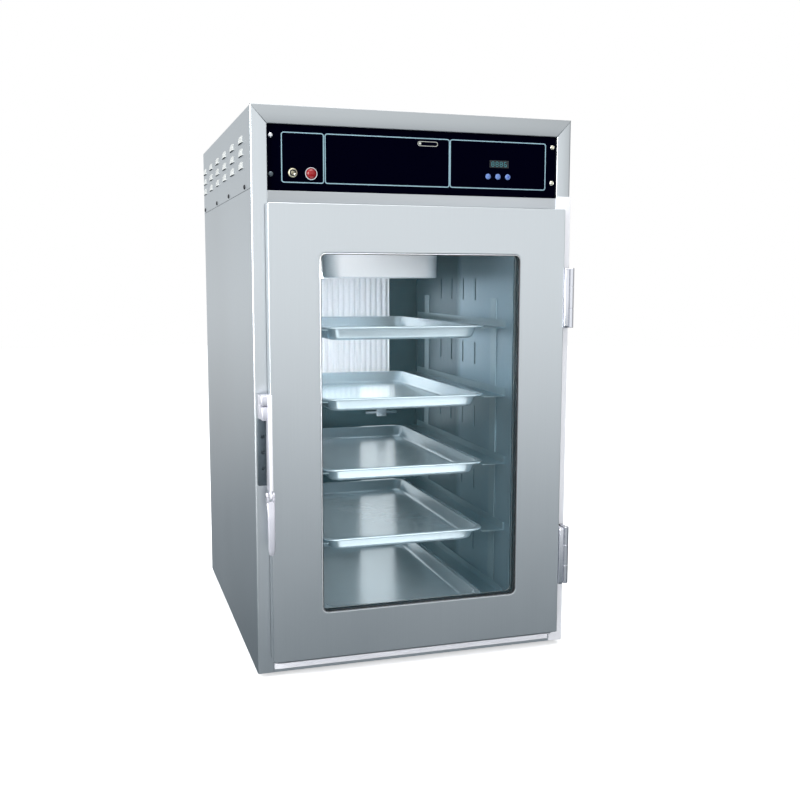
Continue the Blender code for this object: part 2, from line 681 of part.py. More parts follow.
def build_power_switch():
    """Toggle switch: body with a threaded neck, a bat lever on a cross axis, and a front nut."""
    def at(depth):
        return spot(TOGGLE_X, depth, TOGGLE_H)

    body = box_part("power_switch_body", BLACK_PLASTIC, (TOGGLE_X - 0.0065, TOGGLE_X + 0.0065),
                    (PANEL_DEPTH + PANEL_SHEET + 0.0004, 0.0300), (TOGGLE_H - 0.010, TOGGLE_H + 0.010))
    join(body, drum(at(0.0000), at(0.0100), 0.0058))
    cut(body, drum(at(-0.0010), at(0.0100), 0.0040))

    mesh = bmesh.new()
    add_drum(mesh, at(PANEL_DEPTH - GAP), at(PANEL_DEPTH - GAP - 0.0024), 0.0088, sides=6)
    nut = place("power_switch_nut", mesh, CHROME)
    cut(nut, drum(at(-0.010), at(0.020), 0.0062))

    tilt = math.radians(14)
    pivot = at(0.0040)
    tip = pivot + Vector((0, -math.cos(tilt), -math.sin(tilt))) * 0.0180
    mesh = bmesh.new()
    add_drum(mesh, pivot, tip, 0.0014, end_radius=0.0026, sides=16)
    lever = place("power_switch_lever", mesh, CHROME, origin=pivot)
    ball = bmesh.new()
    bmesh.ops.create_uvsphere(ball, u_segments=16, v_segments=8, radius=0.0026,
                              matrix=Matrix.Translation(tip))
    combine(lever, "UNION", place("toggle_ball", ball, None))
    hang([lever], axis_empty("toggle_axis", pivot))


def build_power_lamp():
    def at(depth):
        return spot(LAMP_X, depth, LAMP_H)

    mesh = bmesh.new()
    add_drum(mesh, at(PANEL_DEPTH - GAP), at(PANEL_DEPTH - 0.0033), 0.0118, end_radius=0.0108,
             sides=36)
    collar = place("power_lamp_collar", mesh, CHROME)
    join(collar, drum(at(PANEL_DEPTH - 0.0010), at(0.0300), 0.0080))
    floor = PANEL_DEPTH - 0.0018
    cut(collar, drum(at(-0.010), at(floor), 0.0090, sides=32))

    mesh = bmesh.new()
    add_drum(mesh, at(floor - GAP), at(-0.0010), 0.0086, sides=32)
    lens = place("power_lamp_lens", mesh, RED_LENS)
    join(lens, drum(at(-0.0005), at(-0.0035), 0.0084, end_radius=0.0050, sides=32))


def build_cable_gland():
    x, height = GLAND_X, GLAND_H
    mesh = bmesh.new()
    add_drum(mesh, spot(x, BODY_D + GAP, height), spot(x, BODY_D + 0.0065, height), 0.0125, sides=6)
    gland = place("cable_gland", mesh, BLACK_PLASTIC)
    join(gland, drum(spot(x, BODY_D + 0.0050, height), spot(x, BODY_D + GLAND_REACH, height),
                     0.0100, end_radius=0.0075))
    join(gland, drum(spot(x, BODY_D - 0.0100, height), spot(x, BODY_D + 0.0020, height), 0.0076))
    cut(gland, drum(spot(x, BODY_D - 0.0200, height), spot(x, BODY_D + 0.0300, height), 0.0045))


# ---------------------------------------------------------------- door
def window_ring(name, finish, outer_grow, inner_grow, depth):
    """A frame that follows the window's rounded outline, wider or narrower by a margin."""
    def sides(grow):
        return both_ways(WINDOW_HALF_W + grow), (WINDOW_BOTTOM - grow, WINDOW_TOP + grow)

    x, height = sides(outer_grow)
    ring = box_part(name, finish, x, depth, height, radius=WINDOW_RADIUS + outer_grow)
    x, height = sides(inner_grow)
    cut(ring, box(x, (depth[0] - 0.010, depth[1] + 0.010), height,
                  radius=WINDOW_RADIUS + inner_grow))
    return ring


def window_hole(grow=0.0):
    return box(both_ways(WINDOW_HALF_W + grow), (DOOR_FRONT - 0.010, 0.010),
               (WINDOW_BOTTOM - grow, WINDOW_TOP + grow), radius=WINDOW_RADIUS + grow)


def build_door_leaf():
    half, low, high = DOOR_HALF_W, DOOR_BOTTOM, DOOR_TOP
    skin = box_part("door_outer_skin", STEEL, both_ways(half), (DOOR_FRONT, DOOR_BACK), (low, high))
    cut(skin, box(both_ways(half - SHEET), (DOOR_FRONT + SHEET, 0.010),
                  (low + SHEET, high - SHEET)))
    cut(skin, window_hole())

    inset = SHEET + 0.0004
    width = both_ways(half - inset)
    rise = (low + inset, high - inset)
    inner = box_part("door_inner_skin", STEEL, width, (DOOR_BACK - SHEET - GAP, DOOR_BACK - GAP),
                     rise)
    cut(inner, window_hole())
    core = box_part("door_insulation", WHITE_WOOL, width, (DOOR_FRONT + SHEET + GAP,
                    DOOR_BACK - SHEET - 2 * GAP), rise)
    cut(core, window_hole(0.0105))

    glass = {"x": both_ways(WINDOW_HALF_W + 0.0098),
             "height": (WINDOW_BOTTOM - 0.0098, WINDOW_TOP + 0.0098), "radius": WINDOW_RADIUS + 0.0098}
    front = DOOR_FRONT + SHEET + GAP
    back = DOOR_BACK - SHEET - 2 * GAP
    pane = 0.004
    outer_glass = box_part("outer_glass", CLEAR_GLASS, depth=(front, front + pane), **glass)
    inner_glass = box_part("inner_glass", CLEAR_GLASS, depth=(back - pane, back), **glass)
    spacer = window_ring("window_spacer", BLACK_PLASTIC, 0.0095, 0.0010,
                         (front + pane + GAP, back - pane - GAP))
    bead = window_ring("window_bead", CHROME, -GAP, -0.0028,
                       (DOOR_FRONT - 0.0010, DOOR_FRONT + SHEET))

    seal = box_part("door_gasket", GREY_RUBBER, both_ways(0.2460), (DOOR_BACK + GAP, -GAP),
                    (0.0300, 0.8200), radius=0.004)
    cut(seal, box(both_ways(0.2330), (-0.020, 0.020), (0.0430, 0.8070)))
    return [skin, inner, core, outer_glass, inner_glass, spacer, bead, seal]


def build_hinge(name, low):
    """Knuckle hinge: the jamb leaf carries the pin and the end knuckles, the door leaf the middle."""
    high = low + HINGE_H
    end = HINGE_KNUCKLE
    running = 0.0004

    def axis(height):
        return spot(HINGE_X, HINGE_DEPTH, height)

    leaf = box_part(f"{name}_hinge_jamb_leaf", CHROME, (0.2872, 0.2998), (-0.0068, -0.0036),
                    (low, high), radius=0.004)
    for bottom, top in ((low, low + end), (high - end, high)):
        join(leaf, box((0.2895, 0.2975), (HINGE_DEPTH + 0.002, -0.0050), (bottom, top)))
        join(leaf, drum(axis(bottom), axis(top), HINGE_BARREL))
    join(leaf, drum(axis(low + 0.001), axis(high - 0.001), HINGE_PIN))

    door_leaf = box_part(f"{name}_hinge_door_leaf", CHROME, (0.2768, 0.2856), (-0.0340, -0.0046),
                         (low, high), radius=0.003, along="X")
    middle = (low + end + running, high - end - running)
    join(door_leaf, box((0.2850, 0.2905), (HINGE_DEPTH - 0.0035, HINGE_DEPTH + 0.0035), middle))
    join(door_leaf, drum(axis(middle[0]), axis(middle[1]), HINGE_BARREL))
    cut(door_leaf, drum(axis(low), axis(high), HINGE_PIN + GAP))
    return door_leaf


def build_latch():
    """Pull-lever latch on the door's edge, its strike on the stile, and the lever's cross pin."""
    strike = box_part("strike_plate", DARK_STEEL, STRIKE_X, (-0.0120, -GAP), STRIKE_H,
                      radius=0.002)
    middle = sum(STRIKE_X) / 2
    cut(strike, *[drum(spot(middle, -0.020, height), spot(middle, -0.0100, height), 0.0025,
                       sides=12) for height in STRIKE_HOLES])

    body = box_part("latch_body", CHROME, LATCH_BAR_X, (-0.0520, DOOR_FRONT - GAP),
                    (LATCH_PIVOT_H + 0.0100, LATCH_TOP), radius=0.002, along="Z", segments=2)
    join(body, box((LATCH_X[0], LATCH_X[1] - 0.0003), (-0.0500, -0.0310),
                   (LATCH_BLOCK_LOW, LATCH_TOP - 0.0010), radius=0.002, segments=2))
    join(body, box(LATCH_X, (-0.0320, -0.0140), (LATCH_BLOCK_LOW + 0.0010, LATCH_TOP - 0.0020)))
    pivot = spot(LATCH_MID_X, LATCH_PIVOT_DEPTH, LATCH_PIVOT_H)
    tongue = (LATCH_MID_X - TONGUE_HALF_W, LATCH_MID_X + TONGUE_HALF_W)
    join(body, box(tongue, (-0.0475, -0.0365), (LATCH_PIVOT_H, LATCH_PIVOT_H + 0.0150)))

    def across(half, height=LATCH_PIVOT_H, depth=LATCH_PIVOT_DEPTH):
        return spot(LATCH_MID_X - half, depth, height), spot(LATCH_MID_X + half, depth, height)

    join(body, drum(*across(TONGUE_HALF_W), TONGUE_RADIUS))
    cut(body, drum(*across(0.0100), CROSS_PIN + GAP, sides=16))

    mesh = bmesh.new()
    add_drum(mesh, *across(LEVER_HALF_W), LEVER_EYE, sides=28)
    lever = place("latch_lever", mesh, CHROME, origin=pivot)
    grip = (LATCH_MID_X - LEVER_HALF_W, LATCH_MID_X + LEVER_HALF_W)
    join(lever, box(grip, (-0.0488, -0.0420), (LATCH_PIVOT_H - 0.0200, LATCH_PIVOT_H)))
    join(lever, box(grip, (-0.0550, -0.0470), GRIP_H, radius=0.0070, along="Y"))
    fork = (LATCH_MID_X - TONGUE_HALF_W - 0.0004, LATCH_MID_X + TONGUE_HALF_W + 0.0004)
    cut(lever, box(fork, (-0.0600, -0.0300), (LATCH_PIVOT_H - 0.0064, LATCH_PIVOT_H + 0.0200)))
    cut(lever, drum(*across(0.0200), CROSS_PIN + GAP, sides=16))

    mesh = bmesh.new()
    add_drum(mesh, *across(LEVER_HALF_W + 0.0004), CROSS_PIN, sides=16)
    pin = place("latch_pin", mesh, DARK_STEEL)
    return body, lever, pin, pivot


def build_door():
    hinge_axis = axis_empty("door_hinge_axis", spot(HINGE_X, HINGE_DEPTH, DOOR_BOTTOM))
    riders = build_door_leaf()
    riders += [build_hinge(name, low) for name, low in HINGE_BOTTOMS.items()]
    body, lever, pin, pivot = build_latch()
    hang(riders + [body, pin], hinge_axis)
    latch_axis = axis_empty("latch_lever_axis", pivot)
    hang([lever], latch_axis)
    hang([latch_axis], hinge_axis)


build_feet()
build_base_pan()
build_side_panels()
build_rear_panel()
build_top_cover()
build_front_bezel()
build_front_strips()
build_liner()
build_insulation()
build_duct_panels()
build_pan_racks()
build_pans()
build_rear_air_panel()
build_ceiling_air_box()
build_fan()
build_heater()
build_probe()
build_control_panel()
build_power_switch()
build_power_lamp()
build_cable_gland()
build_door()
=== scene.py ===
"""Looks of the glass-door proofing cabinet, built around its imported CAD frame.

Fine sheet metal, pans, hinges, latch and controls stand for the plain CAD nodes.  Everything is in
metres in the CAD's own frame: x to the hinge side, depth back from the body's front face and height
up from the body's underside.
"""
import math

import bmesh
import bpy
from mathutils import Matrix, Vector


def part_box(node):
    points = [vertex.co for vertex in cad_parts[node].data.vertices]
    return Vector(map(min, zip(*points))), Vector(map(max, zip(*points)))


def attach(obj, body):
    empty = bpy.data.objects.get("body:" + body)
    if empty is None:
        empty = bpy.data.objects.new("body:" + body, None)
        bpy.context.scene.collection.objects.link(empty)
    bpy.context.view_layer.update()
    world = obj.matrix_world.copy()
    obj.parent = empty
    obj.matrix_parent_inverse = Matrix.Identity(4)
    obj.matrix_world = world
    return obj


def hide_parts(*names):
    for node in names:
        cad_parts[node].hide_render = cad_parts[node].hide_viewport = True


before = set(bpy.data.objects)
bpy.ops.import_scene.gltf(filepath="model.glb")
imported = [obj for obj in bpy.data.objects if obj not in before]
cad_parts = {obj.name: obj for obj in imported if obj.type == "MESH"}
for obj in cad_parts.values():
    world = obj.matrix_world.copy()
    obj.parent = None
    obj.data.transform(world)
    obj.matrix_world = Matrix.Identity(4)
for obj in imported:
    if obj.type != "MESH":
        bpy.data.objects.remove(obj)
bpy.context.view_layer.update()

# ---------------------------------------------------------------- driving dimensions
FACE_LOW, FACE_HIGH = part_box("front_bezel")
FRONT = FACE_LOW.y
BASE = FACE_LOW.z
HALF_W = FACE_HIGH.x
BODY_H = FACE_HIGH.z - BASE
SHEET = 0.0015
EDGE = 0.0040            # radius of the body's two front corners


def extent(node, axis):
    """A CAD node's lowest and highest x, depth or height."""
    low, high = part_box(node)
    place = "xyz".index({"x": "x", "depth": "y", "height": "z"}[axis])
    origin = (0.0, FRONT, BASE)[place]
    return low[place] - origin, high[place] - origin


def sizes(node):
    """A CAD node's extents: x, depth and height."""
    return [extent(node, axis) for axis in ("x", "depth", "height")]


def centre_of(node, depth):
    """The middle of a CAD node in x and height, at a depth."""
    x, _, height = sizes(node)
    return spot(sum(x) / 2, depth, sum(height) / 2)


def spot(x, depth, height):
    return Vector((x, FRONT + depth, BASE + height))


def grow(pair, margin):
    return pair[0] - margin, pair[1] + margin


def both_ways(half, middle=0.0):
    return middle - half, middle + half


# ---------------------------------------------------------------- materials
def noise(tree, where, scale, detail, roughness):
    made = tree.nodes.new("ShaderNodeTexNoise")
    made.inputs["Scale"].default_value = scale
    made.inputs["Detail"].default_value = detail
    made.inputs["Roughness"].default_value = roughness
    tree.links.new(where, made.inputs["Vector"])
    return made.outputs["Fac"]


def map_range(tree, value, before, after):
    """Carries a value from one range onto another, held at both ends."""
    made = tree.nodes.new("ShaderNodeMapRange")
    for socket, number in zip(("From Min", "From Max", "To Min", "To Max"), before + after):
        made.inputs[socket].default_value = number
    tree.links.new(value, made.inputs["Value"])
    return made.outputs["Result"]


def surface(name, colour, roughness, metallic=0.0, grain=300, marks=5.0, tint=0.025,
            spread=0.03, relief=0.000005, painted_shade_ramp=None, **settings):
    """A Principled material with a fine grain (cycles a metre, or one number each for
    x, y and z) and broad marks.

    A painted shade ramp holds the axis, where it starts and ends on that axis, and the tone it ends
    in; it darkens the colour along that axis as painted shade.
    """
    material = bpy.data.materials.new(name)
    material.use_nodes = True
    nodes, links = material.node_tree.nodes, material.node_tree.links
    shader = nodes["Principled BSDF"]
    shader.inputs["Metallic"].default_value = metallic
    for socket, value in settings.items():
        shader.inputs[socket.replace("_", " ")].default_value = value

    where = nodes.new("ShaderNodeTexCoord").outputs["Object"]
    stretch = nodes.new("ShaderNodeMapping")
    stretch.inputs["Scale"].default_value = (grain,) * 3 if isinstance(grain, int) else grain
    links.new(where, stretch.inputs["Vector"])
    fine = noise(material.node_tree, stretch.outputs["Vector"], 1.0, 3.0, 0.5)
    broad = noise(material.node_tree, where, marks, 5.0, 0.6)

    blend = nodes.new("ShaderNodeMix")
    blend.data_type = "FLOAT"
    blend.inputs["Factor"].default_value = 0.5
    links.new(fine, blend.inputs["A"])
    links.new(broad, blend.inputs["B"])
    pattern = blend.outputs["Result"]

    shade = nodes.new("ShaderNodeMix")
    shade.data_type = "RGBA"
    shade.inputs["A"].default_value = [c * (1 - 2 * tint) for c in colour] + [1.0]
    shade.inputs["B"].default_value = [min(1.0, c * (1 + 2 * tint)) for c in colour] + [1.0]
    links.new(pattern, shade.inputs["Factor"])
    tone = shade.outputs["Result"]
    # painted shade: the colour is multiplied towards a darker tone along one axis
    if painted_shade_ramp:
        axis, start, end, last = painted_shade_ramp
        split = nodes.new("ShaderNodeSeparateXYZ")
        links.new(where, split.inputs["Vector"])
        along = map_range(material.node_tree, split.outputs[axis], (start, end), (0.0, 1.0))
        painted_shade_mix = nodes.new("ShaderNodeMix")
        painted_shade_mix.data_type = "RGBA"
        painted_shade_mix.blend_type = "MULTIPLY"
        painted_shade_mix.inputs["B"].default_value = [*last, 1.0]
        links.new(along, painted_shade_mix.inputs["Factor"])
        links.new(tone, painted_shade_mix.inputs["A"])
        tone = painted_shade_mix.outputs["Result"]
    links.new(tone, shader.inputs["Base Color"])

    wear = map_range(material.node_tree, pattern, (0.25, 0.75),
                     (max(0.0, roughness - spread), roughness + spread))
    links.new(wear, shader.inputs["Roughness"])

    bump = nodes.new("ShaderNodeBump")
    bump.inputs["Distance"].default_value = relief
    links.new(fine, bump.inputs["Height"])
    links.new(bump.outputs["Normal"], shader.inputs["Normal"])
    return material


STEEL = (0.70, 0.74, 0.77)
UPRIGHT = (420, 420, 5)
ALONG_X = (5, 420, 420)
ALONG_Y = (420, 5, 420)
steel_upright = surface("steel_brushed_upright", STEEL, 0.30, 1.0, UPRIGHT)
# painted light: a brighter, bluer copy of the brushed steel for the body's sides
steel_side_painted_light = surface("steel_brushed_side_painted_light", (0.72, 0.785, 0.835), 0.30, 1.0, UPRIGHT)
# painted highlight: a pale, barely metallic copy of the steel for the jamb strip, the sill and the
# latch's front faces
steel_painted_highlight = surface("steel_pale_strip_painted_highlight", (0.92, 0.92, 0.97), 0.40, 0.25, UPRIGHT)
# painted shade: a darker copy of the brushed steel, its grain level, for the top rail and the panel
# opening's lip
steel_level_painted_shade = surface("steel_brushed_level_painted_shade", (0.55, 0.58, 0.60), 0.36, 1.0, ALONG_X)
# painted shade: the lintel is a darker copy of the brushed steel, darkening further towards the
# left
steel_lintel_painted_shade = surface("steel_brushed_lintel_painted_shade", (0.66, 0.69, 0.72), 0.36, 1.0, ALONG_X,
                       painted_shade_ramp=("X", 0.20, -0.27, (0.74, 0.74, 0.74)))
# painted highlight: a near-white copy of the steel for the louvre hoods
steel_hood_painted_highlight = surface("steel_louvre_painted_highlight", (0.90, 0.93, 0.92), 0.34, 0.70, ALONG_Y)
# blackened steel for screws and the latch pin, also used as painted shadow on the hinge's jamb leaf
steel_black_and_painted_shadow = surface("steel_blackened_and_painted_shadow", (0.012, 0.013, 0.016), 0.45, 0.3, 200)
steel_roof = surface("steel_brushed_roof", STEEL, 0.33, 1.0, ALONG_Y)
steel_dark_and_painted_shade = surface("steel_dull_and_painted_shade", (0.15, 0.185, 0.21), 0.42, 1.0, 160, tint=0.10)
steel_pale = surface("steel_pale", (0.93, 0.94, 0.98), 0.24, 0.85, UPRIGHT)
# painted shade: the cavity liner is near-black teal, the dim light inside the cavity painted into
# its colour
liner = surface("liner_steel", (0.035, 0.065, 0.078), 0.32, 0.8, UPRIGHT, marks=9.0, tint=0.10)
# painted shade: the duct panels darken towards the back of the cavity
duct_steel = surface("duct_steel", (0.30, 0.40, 0.46), 0.34, 0.9, UPRIGHT, marks=7.0, tint=0.08,
                     painted_shade_ramp=("Y", FRONT + 0.300, FRONT + 0.335, (0.28, 0.33, 0.35)))
rack_steel = surface("rack_steel", (0.35, 0.45, 0.50), 0.34, 0.9, UPRIGHT, tint=0.06)
tray = surface("pan_steel", (0.53, 0.64, 0.70), 0.22, 0.62, ALONG_X, marks=26.0, tint=0.13)
bright_sheet = surface("aluminium_sheet", (0.90, 0.92, 0.96), 0.40, 0.35, UPRIGHT, marks=8.0)
chrome = surface("chrome", (0.88, 0.89, 0.93), 0.12, 1.0, 90, tint=0.02, spread=0.03)
latch_satin = surface("latch_satin", (0.70, 0.70, 0.77), 0.28, 0.65, (500, 500, 12), tint=0.04)
chrome_satin = surface("chrome_satin", (0.86, 0.87, 0.93), 0.26, 1.0, (500, 500, 12), tint=0.04)
brass_dull = surface("brass_dull", (0.60, 0.56, 0.42), 0.30, 1.0, 300, tint=0.08)
brass = surface("brass_nickel", (0.86, 0.83, 0.70), 0.22, 1.0, 300)
rubber = surface("rubber", (0.05, 0.055, 0.06), 0.75, 0.0, 900, relief=0.0001)
wool = surface("mineral_wool", (0.86, 0.83, 0.70), 0.95, 0.0, (260, 900, 900), relief=0.002)
black_plastic = surface("black_plastic", (0.018, 0.018, 0.020), 0.45, 0.0, 1500)
black_panel = surface("black_panel", (0.0004, 0.0004, 0.0038), 0.40, 0.0, 900,
                      tint=0.15, Specular_IOR_Level=0.0)
line_paint = surface("panel_line_paint", (0.25, 0.40, 0.47), 0.45, 0.0, 700, tint=0.12)
smoked = surface("display_window", (0.002, 0.006, 0.010), 0.12, 0.0, 400)
digit_glow = surface("display_digit", (0.03, 0.14, 0.16), 0.40, 0.0, 800,
                     Emission_Color=(0.02, 0.22, 0.26, 1.0), Emission_Strength=0.18)
red_lens = surface("red_lens", (0.24, 0.003, 0.005), 0.20, 0.0, 250, tint=0.15,
                   Coat_Weight=0.25, Emission_Color=(0.60, 0.0, 0.0, 1.0), Emission_Strength=0.05)
blue_button = surface("blue_button", (0.11, 0.19, 0.45), 0.38, 0.0, 600, tint=0.08)
blue_mark = surface("blue_button_mark", (0.01, 0.02, 0.40), 0.40, 0.0, 600)
slot_trim = surface("indicator_trim", (0.72, 0.74, 0.68), 0.28, 0.6, 400)
glass = surface("glass", (0.03, 0.09, 0.11), 0.03, 0.0, (40, 40, 12), marks=4.0, spread=0.02,
                relief=0.0, Alpha=0.07, IOR=1.52, Specular_IOR_Level=0.8)


# ---------------------------------------------------------------- mesh building
def facing(u, v, level):
    """An outline in x and height, at a depth."""
    return spot(u, level, v)


def lying(u, v, level):
    """An outline in x and depth, at a height."""
    return spot(u, v, level)


def sideways(u, v, level):
    """An outline in depth and height, at an x."""
    return spot(level, u, v)


def rounded(u, v, radius, steps):
    """Points round a rectangle with quarter-circle corners."""
    points = []
    middles = ((u[1] - radius, v[1] - radius), (u[0] + radius, v[1] - radius),
               (u[0] + radius, v[0] + radius), (u[1] - radius, v[0] + radius))
    for quarter, (a, b) in enumerate(middles):
        for step in range(steps + 1):
            angle = math.pi / 2 * (quarter + step / steps)
            points.append((a + radius * math.cos(angle), b + radius * math.sin(angle)))
    return points


def bridge(mesh, first, second):
    """Faces between two rows of vertices; a row of one vertex is a pole."""
    count = max(len(first), len(second))
    for i in range(count):
        j = (i + 1) % count
        corners = [first[i % len(first)], first[j % len(first)],
                   second[j % len(second)], second[i % len(second)]]
        mesh.faces.new(list(dict.fromkeys(corners)))


def loft(mesh, rings, plane, closed=False, steps=6):
    """A skin over rounded rectangles (u, v, radius, level), capped or closed on itself."""
    rows = [[mesh.verts.new(plane(a, b, level)) for a, b in rounded(u, v, radius, steps)]
            for u, v, radius, level in rings]
    for first, second in zip(rows, rows[1:]):
        bridge(mesh, first, second)
    if closed:
        bridge(mesh, rows[-1], rows[0])
    else:
        mesh.faces.new(rows[0])
        mesh.faces.new(rows[-1])


def turn(mesh, profile, centre, along, sides=32, closed=False):
    """A turned body: profile holds (radius, distance along the axis), and radius 0 is a pole.

    Its ends are capped, or a closed profile joins its last row to its first.
    """
    axes = Vector(along).to_track_quat("Z", "Y").to_matrix()
    rows = []
    for radius, distance in profile:
        count = sides if radius else 1
        rows.append([mesh.verts.new(centre + axes @ Vector((
            radius * math.cos(math.tau * i / count), radius * math.sin(math.tau * i / count),
            distance))) for i in range(count)])
    for first, second in zip(rows, rows[1:]):
        bridge(mesh, first, second)
    if closed:
        bridge(mesh, rows[-1], rows[0])
        return
    for row in (rows[0], rows[-1]):
        if len(row) > 1:
            mesh.faces.new(row)


def block(mesh, x, depth, height, radius=0.0):
    """A box with every edge rounded."""
    low, high = spot(x[0], depth[0], height[0]), spot(x[1], depth[1], height[1])
    shape = Matrix.Translation((low + high) / 2) @ Matrix.Diagonal((high - low).to_4d())
    made = bmesh.ops.create_cube(mesh, size=1.0, matrix=shape)
    if radius:
        edges = {edge for vert in made["verts"] for edge in vert.link_edges}
        bmesh.ops.bevel(mesh, geom=list(edges), offset=radius, segments=3, profile=0.5,
                        affect="EDGES")


def extrude_outline(mesh, outline, plane, levels):
    """A prism over an outline of (u, v) points between two levels."""
    rows = [[mesh.verts.new(plane(u, v, level)) for u, v in outline] for level in levels]
    bridge(mesh, *rows)
    for row in rows:
        mesh.faces.new(row)


def arc(centre, radius, start, end, steps):
    """Points (u, v) on an arc, its angles in degrees."""
    points = []
    for step in range(steps + 1):
        angle = math.radians(start + (end - start) * step / steps)
        points.append((centre[0] + radius * math.cos(angle), centre[1] + radius * math.sin(angle)))
    return points


def new_object(name, mesh):
    bmesh.ops.recalc_face_normals(mesh, faces=mesh.faces)
    data = bpy.data.meshes.new(name)
    mesh.to_mesh(data)
    mesh.free()
    made = bpy.data.objects.new(name, data)
    bpy.context.scene.collection.objects.link(made)
    return made


def carve(made, cutter_mesh):
    """Cuts a mesh away from an object for good."""
    cutter = new_object("cutter", cutter_mesh)
    step = made.modifiers.new("cut", "BOOLEAN")
    step.object = cutter
    step.solver = "EXACT"
    step.use_self = True
    bpy.context.view_layer.update()
    graph = bpy.context.evaluated_depsgraph_get()
    data = bpy.data.meshes.new_from_object(made.evaluated_get(graph))
    made.modifiers.remove(step)
    made.data = data
    bpy.data.objects.remove(cutter)


def dress(made, look, body, replaces=(), sharp=35):
    """Gives a piece its material and shading, its body and the CAD nodes it stands for."""
    data = made.data
    data.materials.clear()
    data.materials.append(look)
    data.shade_smooth()
    data.set_sharp_from_angle(angle=math.radians(sharp))
    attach(made, body)
    if replaces:
        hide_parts(*replaces)
    return made


def piece(name, mesh, look, body, replaces=(), sharp=35):
    return dress(new_object(name, mesh), look, body, replaces, sharp)


def add_look(made, look, chosen):
    """A second material for the faces that a test picks."""
    made.data.materials.append(look)
    for face in made.data.polygons:
        if chosen(face):
            face.material_index = len(made.data.materials) - 1


def soften(node, look, body, width=0.0004, segments=2):
    """A copy of a CAD node with its edges rounded, which stands for that node."""
    mesh = bmesh.new()
    mesh.from_mesh(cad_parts[node].data)
    bmesh.ops.remove_doubles(mesh, verts=mesh.verts, dist=0.00001)
    bmesh.ops.dissolve_limit(mesh, angle_limit=math.radians(1), verts=mesh.verts,
                             edges=mesh.edges)
    made = piece(node + "_fine", mesh, look, body, (node,), 30)
    rounding = made.modifiers.new("rounding", "BEVEL")
    rounding.width = width
    rounding.segments = segments
    rounding.limit_method = "ANGLE"
    rounding.angle_limit = math.radians(30)
    rounding.harden_normals = True


# ---------------------------------------------------------------- outer shell
def make_feet():
    """Rubber feet with a hollow tread."""
    for end in ("front", "rear"):
        for side in ("left", "right"):
            node = f"{end}_{side}_foot"
            x, depth, height = sizes(node)
            centre = spot(sum(x) / 2, sum(depth) / 2, height[0])
            wide = (x[1] - x[0]) / 2
            tall = height[1] - height[0]
            mesh = bmesh.new()
            turn(mesh, [(0.0, 0.0012), (0.006, 0.0012), (0.007, 0.0), (wide - 0.0035, 0.0),
                        (wide - 0.0020, 0.0010), (wide - 0.0006, tall * 0.55), (wide, tall * 0.7),
                        (wide, tall - 0.0008), (wide - 0.0008, tall), (0.0, tall)],
                 centre, (0, 0, 1), 40)
            piece(node + "_fine", mesh, rubber, "root", (node,))


def corner_setback(depth):
    """How far the body's rounded front corners are set in at a depth."""
    if depth >= EDGE:
        return 0.0
    return EDGE - math.sqrt(EDGE ** 2 - (EDGE - depth) ** 2)


def make_side_panels():
    """Side sheets with a rounded front corner and flanges turned in."""
    half = HALF_W
    flange = 0.0135
    for side, sign in (("left", -1), ("right", 1)):
        node = f"{side}_side_panel"
        _, (front, back), levels = sizes(node)
        outer = [(half - corner_setback(front + EDGE * i / 6), front + EDGE * i / 6)
                 for i in range(6)]
        outer += arc((half - 0.002, back - 0.002), 0.002, 0, 90, 4)
        outline = [(half - flange, front)] + outer + [(half - flange, back)]
        outline += [(half - flange, back - SHEET), (half - SHEET - 0.001, back - SHEET),
                    (half - SHEET, back - SHEET - 0.001), (half - SHEET, front + EDGE),
                    (half - SHEET - 0.001, front + SHEET), (half - flange, front + SHEET)]
        mesh = bmesh.new()
        extrude_outline(mesh, [(sign * x, d) for x, d in outline], lying, levels)
        piece(node + "_fine", mesh, steel_side_painted_light, "root", (node,), 40)


def louvre_hood(mesh, sign, middle, top, length, tall, reach):
    """A pressed hood: it swells from the sheet to an open lower lip, and runs out at both ends."""
    columns, rows = 16, 8
    root, thick = 0.0004, 0.0007    # how far it starts inside the sheet, and its own thickness

    def skin(inset):
        grid = []
        for v in (row / rows for row in range(rows + 1)):
            line = []
            for u in (2 * column / columns - 1 for column in range(columns + 1)):
                swell = math.sin(math.pi / 2 * v) ** 1.3 * (1 - abs(u) ** 2.6) ** 0.8
                out = HALF_W - root + (reach + root) * swell - inset
                line.append(mesh.verts.new(spot(sign * out, middle + u * length / 2,
                                                top - v * tall)))
            grid.append(line)
        return grid

    skins = skin(0.0), skin(thick)
    for grid in skins:
        for upper, lower in zip(grid, grid[1:]):
            for i in range(columns):
                mesh.faces.new((upper[i], upper[i + 1], lower[i + 1], lower[i]))
    outer, inner = skins
    rim = ([(0, i) for i in range(columns)] + [(r, columns) for r in range(rows)]
           + [(rows, i) for i in range(columns, 0, -1)] + [(r, 0) for r in range(rows, 0, -1)])
    for (r, c), (s, d) in zip(rim, rim[1:] + rim[:1]):
        mesh.faces.new((outer[r][c], outer[s][d], inner[s][d], inner[r][c]))


